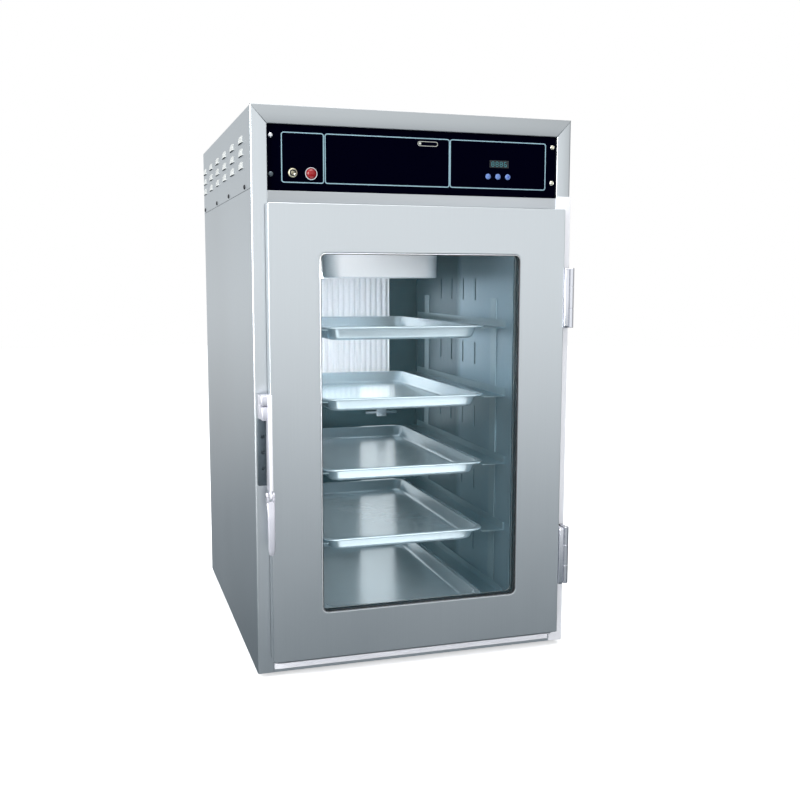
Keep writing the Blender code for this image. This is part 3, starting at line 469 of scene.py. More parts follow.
def make_top_cover():
    """Roof sheet bent down at both sides, with louvres pressed into each side."""
    _, (front, back), (low, high) = sizes("top_cover")
    half, bend = HALF_W, 0.004
    outline = [(half, low)] + arc((half - bend, high - bend), bend, 0, 90, 6)
    outline += [(-x, h) for x, h in reversed(outline)]
    inner = [(half - SHEET, low)]
    inner += arc((half - bend, high - bend), bend - SHEET, 0, 90, 6)
    inner += [(-x, h) for x, h in reversed(inner)]
    outline += reversed(inner)
    mesh = bmesh.new()
    rows = []
    for depth in (front, front + EDGE / 4, front + EDGE / 2, front + EDGE, back):
        setback = corner_setback(depth)
        rows.append([mesh.verts.new(spot(math.copysign(max(0.0, abs(x) - setback), x), depth, h))
                     for x, h in outline])
    for first, second in zip(rows, rows[1:]):
        bridge(mesh, first, second)
    mesh.faces.new(rows[0])
    mesh.faces.new(rows[-1])
    cover = new_object("top_cover_fine", mesh)

    length, tall, reach = 0.058, 0.0150, 0.0029
    gap_half = length * 0.38
    first_column, column_step, top_row, row_step = 0.1065, 0.1117, 0.954, 0.0225
    middles = [first_column + column_step * column for column in range(6)]
    tops = [top_row - row_step * row + tall / 2 for row in range(3)]
    slots, hoods = bmesh.new(), bmesh.new()
    for sign in (-1, 1):
        x = sorted(sign * edge for edge in both_ways(0.004, half))
        for middle in middles:
            for top in tops:
                block(slots, x, both_ways(gap_half, middle),
                      (top - tall + 0.0006, top - tall + 0.0062))
                louvre_hood(hoods, sign, middle, top, length, tall, reach)
    carve(cover, slots)
    hood_object = new_object("hoods", hoods)
    joined = bmesh.new()
    joined.from_mesh(cover.data)
    joined.from_mesh(hood_object.data)
    joined.to_mesh(cover.data)
    joined.free()
    bpy.data.objects.remove(hood_object)
    dress(cover, steel_side_painted_light, "root", ("top_cover",), 40)
    add_look(cover, steel_roof, lambda face: face.normal.z > 0.9)
    # the hood faces take the painted highlight
    add_look(cover, steel_hood_painted_highlight, lambda face: face.normal.z <= 0.9
             and abs(face.center.x) > half + 0.0002 and face.normal.x * face.center.x > 0)


def flat_ring(mesh, outer, inner, front, back):
    """A flat ring between two rounded rectangles (u, v, radius)."""
    loft(mesh, [(*outer, back), (*outer, front), (*inner, front), (*inner, back)], facing,
         closed=True)


def frame_bar(name, outline, look, replaces=()):
    """One bar of the face frame, its front edges slightly rounded so that the joints show."""
    mesh = bmesh.new()
    extrude_outline(mesh, outline, facing, (0.0, SHEET))
    front = [f for f in mesh.faces if all(v.co.y < FRONT + 1e-6 for v in f.verts)]
    rim = {edge for face in front for edge in face.edges}
    bmesh.ops.bevel(mesh, geom=list(rim), offset=0.0009, segments=3, profile=0.5, affect="EDGES")
    piece(name, mesh, look, "root", replaces, 40)


def make_face_frame():
    """Two stiles, a mitred top rail, the lintel over the door and the panels round the mouth."""
    half, top = HALF_W, BODY_H
    open_x, (open_low, open_high) = 0.2715, (0.857, 0.9690)
    mouth_x, (mouth_low, mouth_high) = 0.201, (0.045, 0.800)
    seam = 0.00005
    lintel_low = 0.8370
    frame_bar("face_frame_top_rail",
              [(-half + seam * 2, top), (-open_x + seam, open_high), (open_x - seam, open_high),
               (half - seam * 2, top)], steel_level_painted_shade, ("front_bezel",))
    for side, sign in (("left", -1), ("right", 1)):
        mesh = bmesh.new()
        rows = []
        outer = [(half - corner_setback(SHEET * i / 4), SHEET * i / 4) for i in range(5)]
        for x, d in outer + [(open_x, SHEET), (open_x, 0.0006), (open_x + 0.0006, 0.0)]:
            inset = (half - x) if x > open_x + 0.001 else (half - open_x)
            level = top - inset * (top - open_high) / (half - open_x)
            rows.append((sign * x, d, level))
        low_ring = [mesh.verts.new(spot(x, d, 0.0)) for x, d, _ in rows]
        high_ring = [mesh.verts.new(spot(x, d, level - seam)) for x, d, level in rows]
        bridge(mesh, low_ring, high_ring)
        mesh.faces.new(low_ring)
        mesh.faces.new(high_ring)
        piece(f"face_frame_{side}_stile", mesh, steel_upright, "root", (), 40)
    frame_bar("face_frame_lintel",
              [(-open_x + seam, lintel_low), (open_x - seam, lintel_low),
               (open_x - seam, open_low), (-open_x + seam, open_low)], steel_lintel_painted_shade)

    mesh = bmesh.new()
    flat_ring(mesh, (both_ways(open_x - seam), (0.0, lintel_low - seam), 0.0001),
              (both_ways(mouth_x), (mouth_low, mouth_high), 0.0020), 0.0004, SHEET)
    piece("face_frame_mouth_panel", mesh, steel_upright, "root")

    mesh = bmesh.new()
    u, v = both_ways(open_x), (open_low, open_high)
    loft(mesh, [(grow(u, SHEET), grow(v, SHEET), 0.001, SHEET), (u, v, 0.0004, SHEET * 0.2),
                (u, v, 0.0004, 0.0055), (grow(u, SHEET), grow(v, SHEET), 0.001, 0.0055)],
         facing, closed=True)
    piece("panel_opening_lip", mesh, steel_level_painted_shade, "root")


def make_front_strips():
    """The strip beside the door on the hinge side and the sill angle under the door, both in a pale
    copy of the steel that is a painted highlight.
    """
    mesh = bmesh.new()
    block(mesh, *sizes("hinge_jamb"), 0.0009)
    piece("hinge_jamb_fine", mesh, steel_painted_highlight, "root", ("hinge_jamb",))
    soften("sill_strip", steel_painted_highlight, "root", 0.0004)


def screw_head(mesh, centre, outward, radius):
    """A domed head with a flat rim."""
    tall = radius * 0.55
    profile = [(0.0, -0.0004), (radius, -0.0004), (radius, tall * 0.25)]
    profile += [(radius * math.cos(a), tall * (0.25 + 0.75 * math.sin(a)))
                for a in (math.pi / 2 * i / 6 for i in range(1, 6))]
    profile += [(0.0, tall)]
    turn(mesh, profile, centre, outward, 24)


def cross_recess(mesh, centre, outward, radius):
    """A cutter for a cross recess."""
    axes = Vector(outward).to_track_quat("Z", "Y").to_matrix().to_4x4()
    for long, wide in ((1.2, 0.26), (0.26, 1.2)):
        shape = (Matrix.Translation(centre + Vector(outward) * radius * 0.55) @ axes
                 @ Matrix.Diagonal((radius * long, radius * wide, radius * 0.5, 1.0)))
        bmesh.ops.create_cube(mesh, size=1.0, matrix=shape)


def add_screws(name, centres, outward, radius, look, replaces=()):
    """One piece with a cross-head screw at each centre, facing along its own outward axis."""
    heads, recesses = bmesh.new(), bmesh.new()
    for centre, along in zip(centres, outward):
        screw_head(heads, centre, along, radius)
        cross_recess(recesses, centre, along, radius)
    screws = new_object(name, heads)
    carve(screws, recesses)
    dress(screws, look, "root", replaces)


def make_shell_screws():
    """Dark screws that hold the cover to the sides, and screws round the rear sheet."""
    sides = [(sign, depth) for sign in (-1, 1) for depth in (0.066, 0.272, 0.458, 0.675)]
    add_screws("side_cover_screws", [spot(sign * HALF_W, depth, 0.867) for sign, depth in sides],
               [(sign, 0, 0) for sign, _ in sides], 0.0042, steel_black_and_painted_shadow)
    back = extent("rear_panel", "depth")[1]
    bottom, top = 0.020, 0.980
    rear = [spot(x, back, height) for x in (-0.285, 0.0, 0.285)
            for height in (bottom, 0.340, 0.660, top) if x or height in (bottom, top)]
    add_screws("rear_panel_screws", rear, [(0, 1, 0)] * len(rear), 0.0040, chrome_satin)


# ---------------------------------------------------------------- cavity
def make_pan(number):
    """A drawn tray: flat floor, leaning walls, flat rim with a rolled edge."""
    node = f"pan_{number}"
    u, v, (_, top) = sizes(node)
    sheet = 0.0010
    rim, fillet, roll = 0.0115, 0.006, 0.0020
    deep = 0.0250
    lean = 0.006
    section = [(rim + lean + fillet, -deep + sheet)]
    section += [(rim + lean + fillet * (1 - math.sin(a)),
                 -deep + sheet + fillet * (1 - math.cos(a)))
                for a in (math.radians(76) * i / 4 for i in range(1, 5))]
    section += [(rim + 0.0006, -0.0016), (rim, -0.0006), (rim - 0.0012, 0.0)]
    section += [(roll - roll * math.sin(a), -roll + roll * math.cos(a))
                for a in (math.radians(36) * i for i in range(6))]
    section += [(roll * 0.9, -2 * roll + 0.0006), (roll * 1.1, -sheet)]
    section += [(rim - 0.0006, -sheet), (rim + 0.0016, -0.0030)]
    section += [(rim + lean + 0.0012, -deep + fillet), (rim + lean + fillet, -deep)]
    mesh = bmesh.new()
    loft(mesh, [(grow(u, -inset), grow(v, -inset), max(0.012, 0.026 - inset * 0.3), top + level)
                for inset, level in section], lying, steps=8)
    piece(node + "_fine", mesh, tray, node, (node,), 50)


def make_rear_air_panel():
    """Vertically ribbed bright sheet in front of the back wall."""
    x, depth, height = sizes("rear_air_panel")
    ribs, per_rib, sheet = 20, 12, 0.0010
    front = depth[0] + 0.0005
    swing = 0.0042
    columns = ribs * per_rib
    outline = []
    for i in range(columns + 1):
        wave = math.sin(math.tau * i / per_rib)
        flat = math.copysign(abs(wave) ** 0.45, wave)
        outline.append((x[0] + (x[1] - x[0]) * i / columns, front + swing * (0.5 - 0.5 * flat)))
    lip = depth[1] - 0.0005
    face = [(x[0], lip)] + outline + [(x[1], lip)]
    rear = [(x[1] - sheet, lip)]
    rear += [(a, d + sheet) for a, d in reversed(outline[1:-1])] + [(x[0] + sheet, lip)]
    mesh = bmesh.new()
    extrude_outline(mesh, face + rear, lying, height)
    piece("rear_air_panel_fine", mesh, bright_sheet, "root",
          ("rear_air_panel",), 50)


def make_ceiling_air_box():
    """Drawn box under the ceiling with round corners, a fan intake below and side outlets."""
    x, depth, height = sizes("ceiling_air_box")
    corner, fold, sheet = 0.034, 0.004, 0.0015
    low, high = height
    middle = 0.400
    intake = 0.050
    lip = 0.003

    def shell(inset, level):
        return grow(x, -inset), grow(depth, -inset), corner - inset, level

    def eye(margin, level):
        return (both_ways(intake + margin), both_ways(intake + margin, middle), intake + margin,
                level)

    rings = [shell(0.0, high), shell(0.0, low + fold)]
    rings += [shell(fold * (1 - math.cos(a)), low + fold * (1 - math.sin(a)))
              for a in (math.pi / 2 * i / 4 for i in range(1, 5))]
    rings += [eye(lip, low), eye(lip / 3, low + lip / 3), eye(0.0, low + lip),
              eye(0.0, low + lip + 0.004), eye(sheet, low + lip + 0.004), eye(lip, low + sheet),
              shell(fold, low + sheet), shell(sheet, low + fold), shell(sheet, high)]
    mesh = bmesh.new()
    loft(mesh, rings, lying, closed=True, steps=10)
    box = new_object("ceiling_air_box_fine", mesh)
    outlets = bmesh.new()
    loft(outlets, [((0.270, 0.530), (0.730, 0.780), 0.008, level) for level in both_ways(0.130)],
         sideways)
    carve(box, outlets)
    dress(box, bright_sheet, "root", ("ceiling_air_box",), 40)


def make_cavity():
    soften("cavity_liner", liner, "root", 0.0006)
    for side in ("left", "right"):
        soften(f"{side}_duct_panel", duct_steel, "root", 0.0004)
        soften(f"{side}_pan_rack", rack_steel, "root", 0.0003)
    for number in range(1, 6):
        make_pan(number)
    make_rear_air_panel()
    make_ceiling_air_box()
    soften("temperature_probe", chrome, "root", 0.0006, 3)
    soften("heating_element", steel_dark_and_painted_shade, "root", 0.0002)
    soften("fan_motor", black_plastic, "root", 0.0008)
    soften("fan_wheel", bright_sheet, "fan_wheel", 0.0002)
    soften("base_pan", steel_dark_and_painted_shade, "root", 0.0004)
    soften("rear_panel", steel_upright, "root", 0.0004)
    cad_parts["insulation_jacket"].data.materials[0] = wool


# ---------------------------------------------------------------- controls
PANEL_FACE = extent("control_panel", "depth")[0]


def ink_frame(mesh, x, height, radius, width):
    """A printed outline: a flat ring of ink a hair thick."""
    thick = 0.00012
    half = width / 2
    flat_ring(mesh, (grow(x, half), grow(height, half), radius + half),
              (grow(x, -half), grow(height, -half), radius - half), PANEL_FACE - thick, PANEL_FACE)


def digit_bars(mesh, x, low, wide, tall, bar, bars):
    """Lit bars of a seven-bar digit: a to g, clockwise from the top, then the middle."""
    half = tall / 2
    places = {
        "a": (x + bar, x + wide - bar, low + tall - bar, low + tall),
        "b": (x + wide - bar, x + wide, low + half + bar * 0.3, low + tall - bar),
        "c": (x + wide - bar, x + wide, low + bar, low + half - bar * 0.3),
        "d": (x + bar, x + wide - bar, low, low + bar),
        "e": (x, x + bar, low + bar, low + half - bar * 0.3),
        "f": (x, x + bar, low + half + bar * 0.3, low + tall - bar),
        "g": (x + bar, x + wide - bar, low + half - bar / 2, low + half + bar / 2),
    }
    face = extent("temperature_controller", "depth")[0]
    for key in bars:
        left, right, bottom, top = places[key]
        block(mesh, (left, right), (face - 0.0002, face + 0.0002), (bottom, top))


def make_control_panel():
    """Panel with printed outlines, a lit display and a small indicator slot."""
    soften("control_panel", black_panel, "root", 0.0003)
    ink = bmesh.new()
    for x in ((-0.2450, -0.1715), (-0.1685, 0.0605), (0.0625, 0.2505)):
        ink_frame(ink, x, (0.872, 0.956), 0.004, 0.0017)
    piece("panel_outlines", ink, line_paint, "root")

    soften("temperature_controller", smoked, "root", 0.0003)
    digits = bmesh.new()
    for place, bars in enumerate(("abcdefg", "abcdefg", "abcdefg", "acdefg")):
        digit_bars(digits, 0.1425 + 0.0082 * place, 0.9112, 0.0056, 0.0092, 0.0011, bars)
    piece("display_digits", digits, digit_glow, "root")

    trim = bmesh.new()
    ink_frame(trim, (0.0010, 0.0380), (0.9430, 0.9505), 0.0034, 0.0007)
    turn(trim, [(0.0, -0.0001), (0.0022, -0.0001), (0.0022, 0.0004), (0.0016, 0.0009),
                (0.0, 0.0011)],
         spot(0.0050, PANEL_FACE, 0.94675), (0, -1, 0), 24)
    piece("indicator_slot", trim, slot_trim, "root")


def make_panel_screws():
    """Four cross-head screws in different tones by corner: the chrome one at the upper left is a
    painted highlight, the dull dark one at the lower left is painted shade, and the right ones are
    brass.
    """
    # painted highlight on the upper left screw and painted shade on the lower left one
    screw_looks_with_painted_light = {"upper_left": chrome, "lower_left": steel_dark_and_painted_shade, "upper_right": brass,
             "lower_right": brass}
    for level in ("lower", "upper"):
        for side in ("left", "right"):
            node = f"{level}_{side}_panel_screw"
            add_screws(node + "_fine", [centre_of(node, PANEL_FACE - 0.0001)], [(0, -1, 0)],
                       0.0044, screw_looks_with_painted_light[f"{level}_{side}"], (node,))


def make_buttons():
    """Domed push buttons; the up button has a dark mark in its middle."""
    for node in ("set_button", "down_button", "up_button"):
        x, (front, back), _ = sizes(node)
        centre = centre_of(node, front)
        radius = (x[1] - x[0]) / 2
        mesh = bmesh.new()
        profile = [(0.0, 0.0)]
        profile += [(radius * 0.86 * math.sin(a), 0.0012 * (1 - math.cos(a)))
                    for a in (math.radians(15) * i for i in range(1, 7))]
        profile += [(radius * 0.93, 0.0014), (radius, 0.0020), (radius, back - front),
                    (0.0, back - front)]
        turn(mesh, profile, centre, (0, 1, 0), 32)
        piece(node + "_fine", mesh, blue_button, node, (node,))
        if node == "up_button":
            mark = bmesh.new()
            turn(mark, [(0.0, -0.0002), (0.0013, -0.0001), (0.0016, 0.0008), (0.0, 0.0010)],
                 centre, (0, 1, 0), 24)
            piece("up_button_mark", mark, blue_mark, node)


def make_power_switch():
    """Knurled nut on a washer, the switch's body and a lever with a swollen tip."""
    centre = centre_of("power_switch_nut", extent("power_switch_nut", "depth")[1])
    mesh = bmesh.new()
    turn(mesh, [(0.0080, 0.0), (0.0080, 0.0004), (0.0076, 0.0006), (0.0062, 0.0006)],
         centre, (0, -1, 0), 40)
    corners, knurl = 40, 0.0005
    rows = []
    for radius, distance, groove in ((0.0074, 0.0006, knurl), (0.0074, 0.0026, knurl),
                                     (0.0066, 0.0032, knurl), (0.0048, 0.0030, 0.0),
                                     (0.0044, 0.0010, 0.0)):
        row = []
        for i in range(corners):
            angle = math.tau * i / corners
            reach = radius - groove * (i % 2)
            row.append(mesh.verts.new(centre + Vector((reach * math.cos(angle), -distance,
                                                       reach * math.sin(angle)))))
        rows.append(row)
    for first, second in zip(rows, rows[1:]):
        bridge(mesh, first, second)
    bridge(mesh, rows[-1], rows[0])
    piece("power_switch_nut_fine", mesh, brass_dull, "root", ("power_switch_nut",))

    soften("power_switch_body", black_plastic, "root", 0.0004)

    pivot = spot(sum(extent("power_switch_lever", "x")) / 2, 0.004, 0.888)
    tilt = math.radians(14)
    along = Vector((0, -math.cos(tilt), -math.sin(tilt)))
    mesh = bmesh.new()
    profile = [(0.0, 0.0), (0.0013, 0.0002), (0.0015, 0.0080), (0.0026, 0.0160), (0.0027, 0.0175)]
    profile += [(0.0027 * math.cos(a), 0.0178 + 0.0026 * math.sin(a))
                for a in (math.radians(15) * i for i in range(1, 6))]
    profile += [(0.0, 0.0204)]
    turn(mesh, profile, pivot, along, 24)
    piece("power_switch_lever_fine", mesh, brass, "power_switch_lever",
          ("power_switch_lever",))


def make_power_lamp():
    """A rolled collar round a domed red lens."""
    centre = centre_of("power_lamp_collar", PANEL_FACE)
    mesh = bmesh.new()
    profile = [(0.0080, -0.0002), (0.0114, -0.0002), (0.0118, 0.0006), (0.0114, 0.0020),
               (0.0106, 0.0032), (0.0096, 0.0033), (0.0089, 0.0026), (0.0088, 0.0010)]
    turn(mesh, profile, centre, (0, -1, 0), 40, closed=True)
    piece("power_lamp_collar_fine", mesh, chrome, "root", ("power_lamp_collar",))

    mesh = bmesh.new()
    radius, rise = 0.0086, 0.0060
    profile = [(0.0, 0.0016), (radius, 0.0016), (radius, 0.0030)]
    profile += [(radius * math.cos(a), 0.0030 + rise * math.sin(a))
                for a in (math.radians(12) * i for i in range(1, 8))]
    profile += [(0.0, 0.0030 + rise)]
    turn(mesh, profile, centre, (0, -1, 0), 40)
    piece("power_lamp_lens_fine", mesh, red_lens, "root", ("power_lamp_lens",))


def make_controls():
    make_control_panel()
    make_panel_screws()
    make_buttons()
    make_power_switch()
    make_power_lamp()
    soften("cable_gland", black_plastic, "root", 0.0005)


# ---------------------------------------------------------------- door
WINDOW_X = both_ways(extent("window_bead", "x")[1] + 0.0003)
WINDOW_H = grow(extent("window_bead", "height"), 0.0003)
WINDOW_RADIUS = 0.012
LATCH_PIVOT = (-0.2808, -0.042, 0.334)
TONGUE_HALF_W = 0.0024


def window(margin, level):
    """The window's outline, wider by a margin, as a ring for loft."""
    return grow(WINDOW_X, margin), grow(WINDOW_H, margin), WINDOW_RADIUS + margin, level


def make_door_skin():
    """Pressed steel tray with soft outer edges and a rounded window opening."""
    x, (front, back), height = sizes("door_outer_skin")
    bend = 0.0014

    def tray_edge(inset, radius, level):
        return grow(x, -inset), grow(height, -inset), radius, level

    rings = [tray_edge(0.0, 0.0030, back)]
    for i in range(7):
        a = math.pi / 2 * i / 6
        inset = bend * (1 - math.cos(a))
        rings.append(tray_edge(inset, max(0.0012, 0.0030 - inset * 0.3),
                               front + bend * (1 - math.sin(a))))
    rings += [tray_edge(bend + 0.0006, 0.0012, front), window(0.0018, front),
              window(0.0012, front), window(0.0004, front + 0.0003), window(0.0, front + SHEET),
              window(0.0040, front + SHEET), tray_edge(bend + SHEET, 0.0015, front + SHEET),
              tray_edge(SHEET, 0.0015, front + bend), tray_edge(SHEET, 0.0015, back)]
    mesh = bmesh.new()
    loft(mesh, rings, facing, closed=True, steps=8)
    piece("door_outer_skin_fine", mesh, steel_upright, "door",
          ("door_outer_skin",), 40)


def make_window():
    """Bead round the opening, bright outside and dark inside, and a spacer between two panes."""
    low, high = extent("window_bead", "depth")
    wide = 0.0026
    rings = []
    for i in range(9):
        a = math.pi * i / 8
        rings.append(window(-0.0003 - wide / 2 + wide / 2 * math.cos(a),
                            low + 0.0010 - 0.0010 * math.sin(a)))
    rings += [window(-0.0003 - wide, high), window(-0.0003, high)]
    mesh = bmesh.new()
    steps = 10
    ring_faces = 4 * (steps + 1)
    loft(mesh, rings, facing, closed=True, steps=steps)
    bead = piece("window_bead_fine", mesh, steel_pale, "door", ("window_bead",), 50)
    add_look(bead, steel_black_and_painted_shadow, lambda face: 4 <= face.index // ring_faces <= 8)

    for node in ("outer_glass", "inner_glass"):
        depth = extent(node, "depth")
        edge = 0.0006
        margin = extent(node, "x")[1] - WINDOW_X[1]
        mesh = bmesh.new()
        loft(mesh, [window(margin - edge, depth[0]), window(margin, depth[0] + edge),
                    window(margin, depth[1] - edge), window(margin - edge, depth[1])],
             facing, steps=8)
        piece(node + "_fine", mesh, glass, "door", (node,), 20)
    soften("window_spacer", black_plastic, "door", 0.0003)


def make_gasket():
    """Soft ring with two low ribs that stops just short of the face frame."""
    x, depth, height = sizes("door_gasket")
    back, front = depth[1], depth[0]
    section = [(0.0, front), (0.0005, back - 0.0008), (0.0020, back), (0.0040, back - 0.0010),
               (0.0065, back - 0.0014), (0.0090, back - 0.0010), (0.0110, back),
               (0.0125, back - 0.0008), (0.0130, front)]
    mesh = bmesh.new()
    loft(mesh, [(grow(x, -inset), grow(height, -inset), 0.016 - inset, level)
                for inset, level in section], facing, closed=True, steps=8)
    piece("door_gasket_fine", mesh, rubber, "door", ("door_gasket",), 60)


def knuckle(mesh, low, high, radius, x, depth):
    """A hinge knuckle with eased ends."""
    ease = 0.0006
    turn(mesh, [(0.0, 0.0), (radius - ease, 0.0), (radius, ease), (radius, high - low - ease),
                (radius - ease, high - low), (0.0, high - low)], spot(x, depth, low), (0, 0, 1), 32)


def make_hinges():
    """Knuckle hinges: a leaf on the door's edge and a leaf on the jamb, with knuckles that have
    eased ends.
    """
    x_axis, depth_axis, radius = 0.2935, -0.0240, 0.0060
    end, running = 0.035, 0.0004
    for name in ("upper", "lower"):
        node = f"{name}_hinge_door_leaf"
        x, depth, height = sizes(node)
        low, high = height
        mesh = bmesh.new()
        leaf = (x[0], 0.2856)
        loft(mesh, [((depth[0] + 0.0006, depth[1]), grow(height, -0.0006), 0.0035, leaf[0]),
                    (depth, height, 0.0040, leaf[0] + 0.0006),
                    (depth, height, 0.0040, leaf[1] - 0.0015),
                    ((depth[0] + 0.0015, depth[1]), grow(height, -0.0015), 0.0030, leaf[1])],
             sideways)
        block(mesh, (0.2840, x_axis - 0.002), both_ways(0.0034, depth_axis),
              (low + end + running, high - end - running), 0.0006)
        knuckle(mesh, low + end + running, high - end - running, radius, x_axis, depth_axis)
        piece(node + "_fine", mesh, chrome_satin, "door", (node,))

        node = f"{name}_hinge_jamb_leaf"
        x, depth, height = sizes(node)
        mesh = bmesh.new()
        loft(mesh, [(x, height, 0.0040, -0.0036), (x, height, 0.0040, -0.0060),
                    (grow(x, -0.0008), grow(height, -0.0008), 0.0032, -0.0068)], facing)
        for bottom, top in ((low, low + end), (high - end, high)):
            block(mesh, (0.2900, 0.2970), (depth_axis + 0.002, -0.0050), (bottom, top), 0.0006)
            knuckle(mesh, bottom, top, radius, x_axis, depth_axis)
        leaf = piece(node + "_fine", mesh, chrome_satin, "root", (node,))
        # painted shadow: the jamb leaf's faces deep by the body are black, for the dark slit beside
        # the barrel
        add_look(leaf, steel_black_and_painted_shadow, lambda face: face.center.y > FRONT - 0.0100)


def make_latch_body():
    """Top block over the strike, a long bar down the door's edge, and a tongue for the lever."""
    x, depth, height = sizes("latch_body")
    pivot_x, pivot_depth, pivot_h = LATCH_PIVOT
    low, high = 0.4665, height[1]
    split = 0.4915
    lip = 0.0010
    mesh = bmesh.new()
    block(mesh, (-0.2848, x[1]), (depth[0], -0.0303), (pivot_h + 0.0100, high), 0.0016)
    block(mesh, (x[0], x[1] - 0.0005), (-0.0500, -0.0310), (split + lip, high - lip), 0.0024)
    block(mesh, (x[0] + lip, x[1] - 0.0005), (-0.0490, -0.0310), (low, split - lip), 0.0030)
    block(mesh, x, (-0.0330, -0.0140), (low + lip, high - 2 * lip), 0.0012)
    block(mesh, both_ways(TONGUE_HALF_W, pivot_x), (-0.0470, -0.0370),
          (pivot_h, pivot_h + 0.0120), 0.0004)
    eye = 0.0055
    turn(mesh, [(0.0, 0.0), (eye, 0.0), (eye, 2 * TONGUE_HALF_W), (0.0, 2 * TONGUE_HALF_W)],
         spot(pivot_x - TONGUE_HALF_W, pivot_depth, pivot_h), (1, 0, 0), 28)
    body = piece("latch_body_fine", mesh, latch_satin, "door", ("latch_body",))
    # painted highlight: the front faces right of the pivot take the pale copy of the steel
    add_look(body, steel_painted_highlight,
             lambda face: face.center.x > pivot_x - 0.0022 and face.normal.y < -0.1)


def make_latch_lever():
    """Two eyes with cheeks either side of the tongue, running into a slim rounded grip."""
    pivot_x, pivot_depth, pivot_h = LATCH_PIVOT
    half, slot = 0.0074, 0.0028
    eye, hole, ease = 0.0070, 0.0026, 0.0005
    cheek = half - slot
    mesh = bmesh.new()
    for start in (pivot_x - half, pivot_x + slot):
        turn(mesh, [(hole, 0.0), (eye - ease, 0.0), (eye, ease), (eye, cheek - ease),
                    (eye - ease, cheek), (hole, cheek)],
             spot(start, pivot_depth, pivot_h), (1, 0, 0), 32)
        block(mesh, (start, start + cheek), (-0.0488, -0.0424),
              (pivot_h - 0.0105, pivot_h - ease), ease)
    # half width, drop below the pivot, depth and half thickness
    grip = [(half, 0.0080, -0.0455, 0.0030), (half, 0.0130, -0.0462, 0.0032),
            (0.0070, 0.0220, -0.0490, 0.0034), (0.0066, 0.0360, -0.0506, 0.0036),
            (0.0062, 0.0700, -0.0512, 0.0036), (0.0058, 0.0940, -0.0512, 0.0034),
            (0.0048, 0.0995, -0.0512, 0.0030), (0.0032, 0.1020, -0.0512, 0.0022)]
    loft(mesh, [(both_ways(wide, pivot_x), both_ways(thick, depth), min(wide, thick) * 0.85,
                 pivot_h - drop) for wide, drop, depth, thick in grip], lying)
    piece("latch_lever_fine", mesh, latch_satin, "latch_lever", ("latch_lever",), 50)


def make_latch_pin():
    low, high = extent("latch_pin", "x")
    radius, ease, length = 0.0022, 0.0003, high - low
    mesh = bmesh.new()
    turn(mesh, [(0.0, 0.0), (0.0018, 0.0), (radius, ease), (radius, length - ease),
                (0.0018, length), (0.0, length)], spot(low, *LATCH_PIVOT[1:]), (1, 0, 0), 24)
    piece("latch_pin_fine", mesh, steel_black_and_painted_shadow, "door", ("latch_pin",))


def make_strike_plate():
    """Plate on the stile with three countersunk holes."""
    x, depth, height = sizes("strike_plate")
    mesh = bmesh.new()
    block(mesh, x, depth, height, 0.0010)
    plate = new_object("strike_plate_fine", mesh)
    holes = bmesh.new()
    wide, narrow, deep = 0.0034, 0.0022, 0.0040
    for level in (0.378, 0.406, 0.434):
        turn(holes, [(0.0, 0.0), (wide, 0.0), (narrow, deep / 2), (narrow, deep), (0.0, deep)],
             spot(sum(x) / 2, depth[0] - 0.0002, level), (0, 1, 0), 20)
    carve(plate, holes)
    dress(plate, steel_dark_and_painted_shade, "root", ("strike_plate",))


def make_door():
    make_door_skin()
    soften("door_inner_skin", steel_upright, "door", 0.0004)
    make_window()
    make_gasket()
    make_hinges()
    make_latch_body()
    make_latch_lever()
    make_latch_pin()
    make_strike_plate()
    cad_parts["door_insulation"].data.materials[0] = wool


# ---------------------------------------------------------------- stage
def make_floor():
    mesh = bmesh.new()
    bmesh.ops.create_circle(mesh, cap_ends=True, segments=96, radius=9.0)
    data = bpy.data.meshes.new("floor")
    mesh.to_mesh(data)
    mesh.free()
    floor = bpy.data.objects.new("floor", data)
    floor.location.z = -0.0002
    bpy.context.scene.collection.objects.link(floor)
    look = surface("floor_paint", (0.88, 0.89, 0.90), 0.85, 0.0, 40, 1.2, tint=0.005,
                   Emission_Color=(1.0, 1.0, 1.0, 1.0), Specular_IOR_Level=0.0)
    nodes, links = look.node_tree.nodes, look.node_tree.links
    path = nodes.new("ShaderNodeLightPath")
    glow = nodes.new("ShaderNodeMath")
    glow.operation = "MULTIPLY"
    glow.inputs[1].default_value = 0.55
    links.new(path.outputs["Is Camera Ray"], glow.inputs[0])
    links.new(glow.outputs["Value"], nodes["Principled BSDF"].inputs["Emission Strength"])
    data.materials.append(look)
    floor.visible_glossy = False


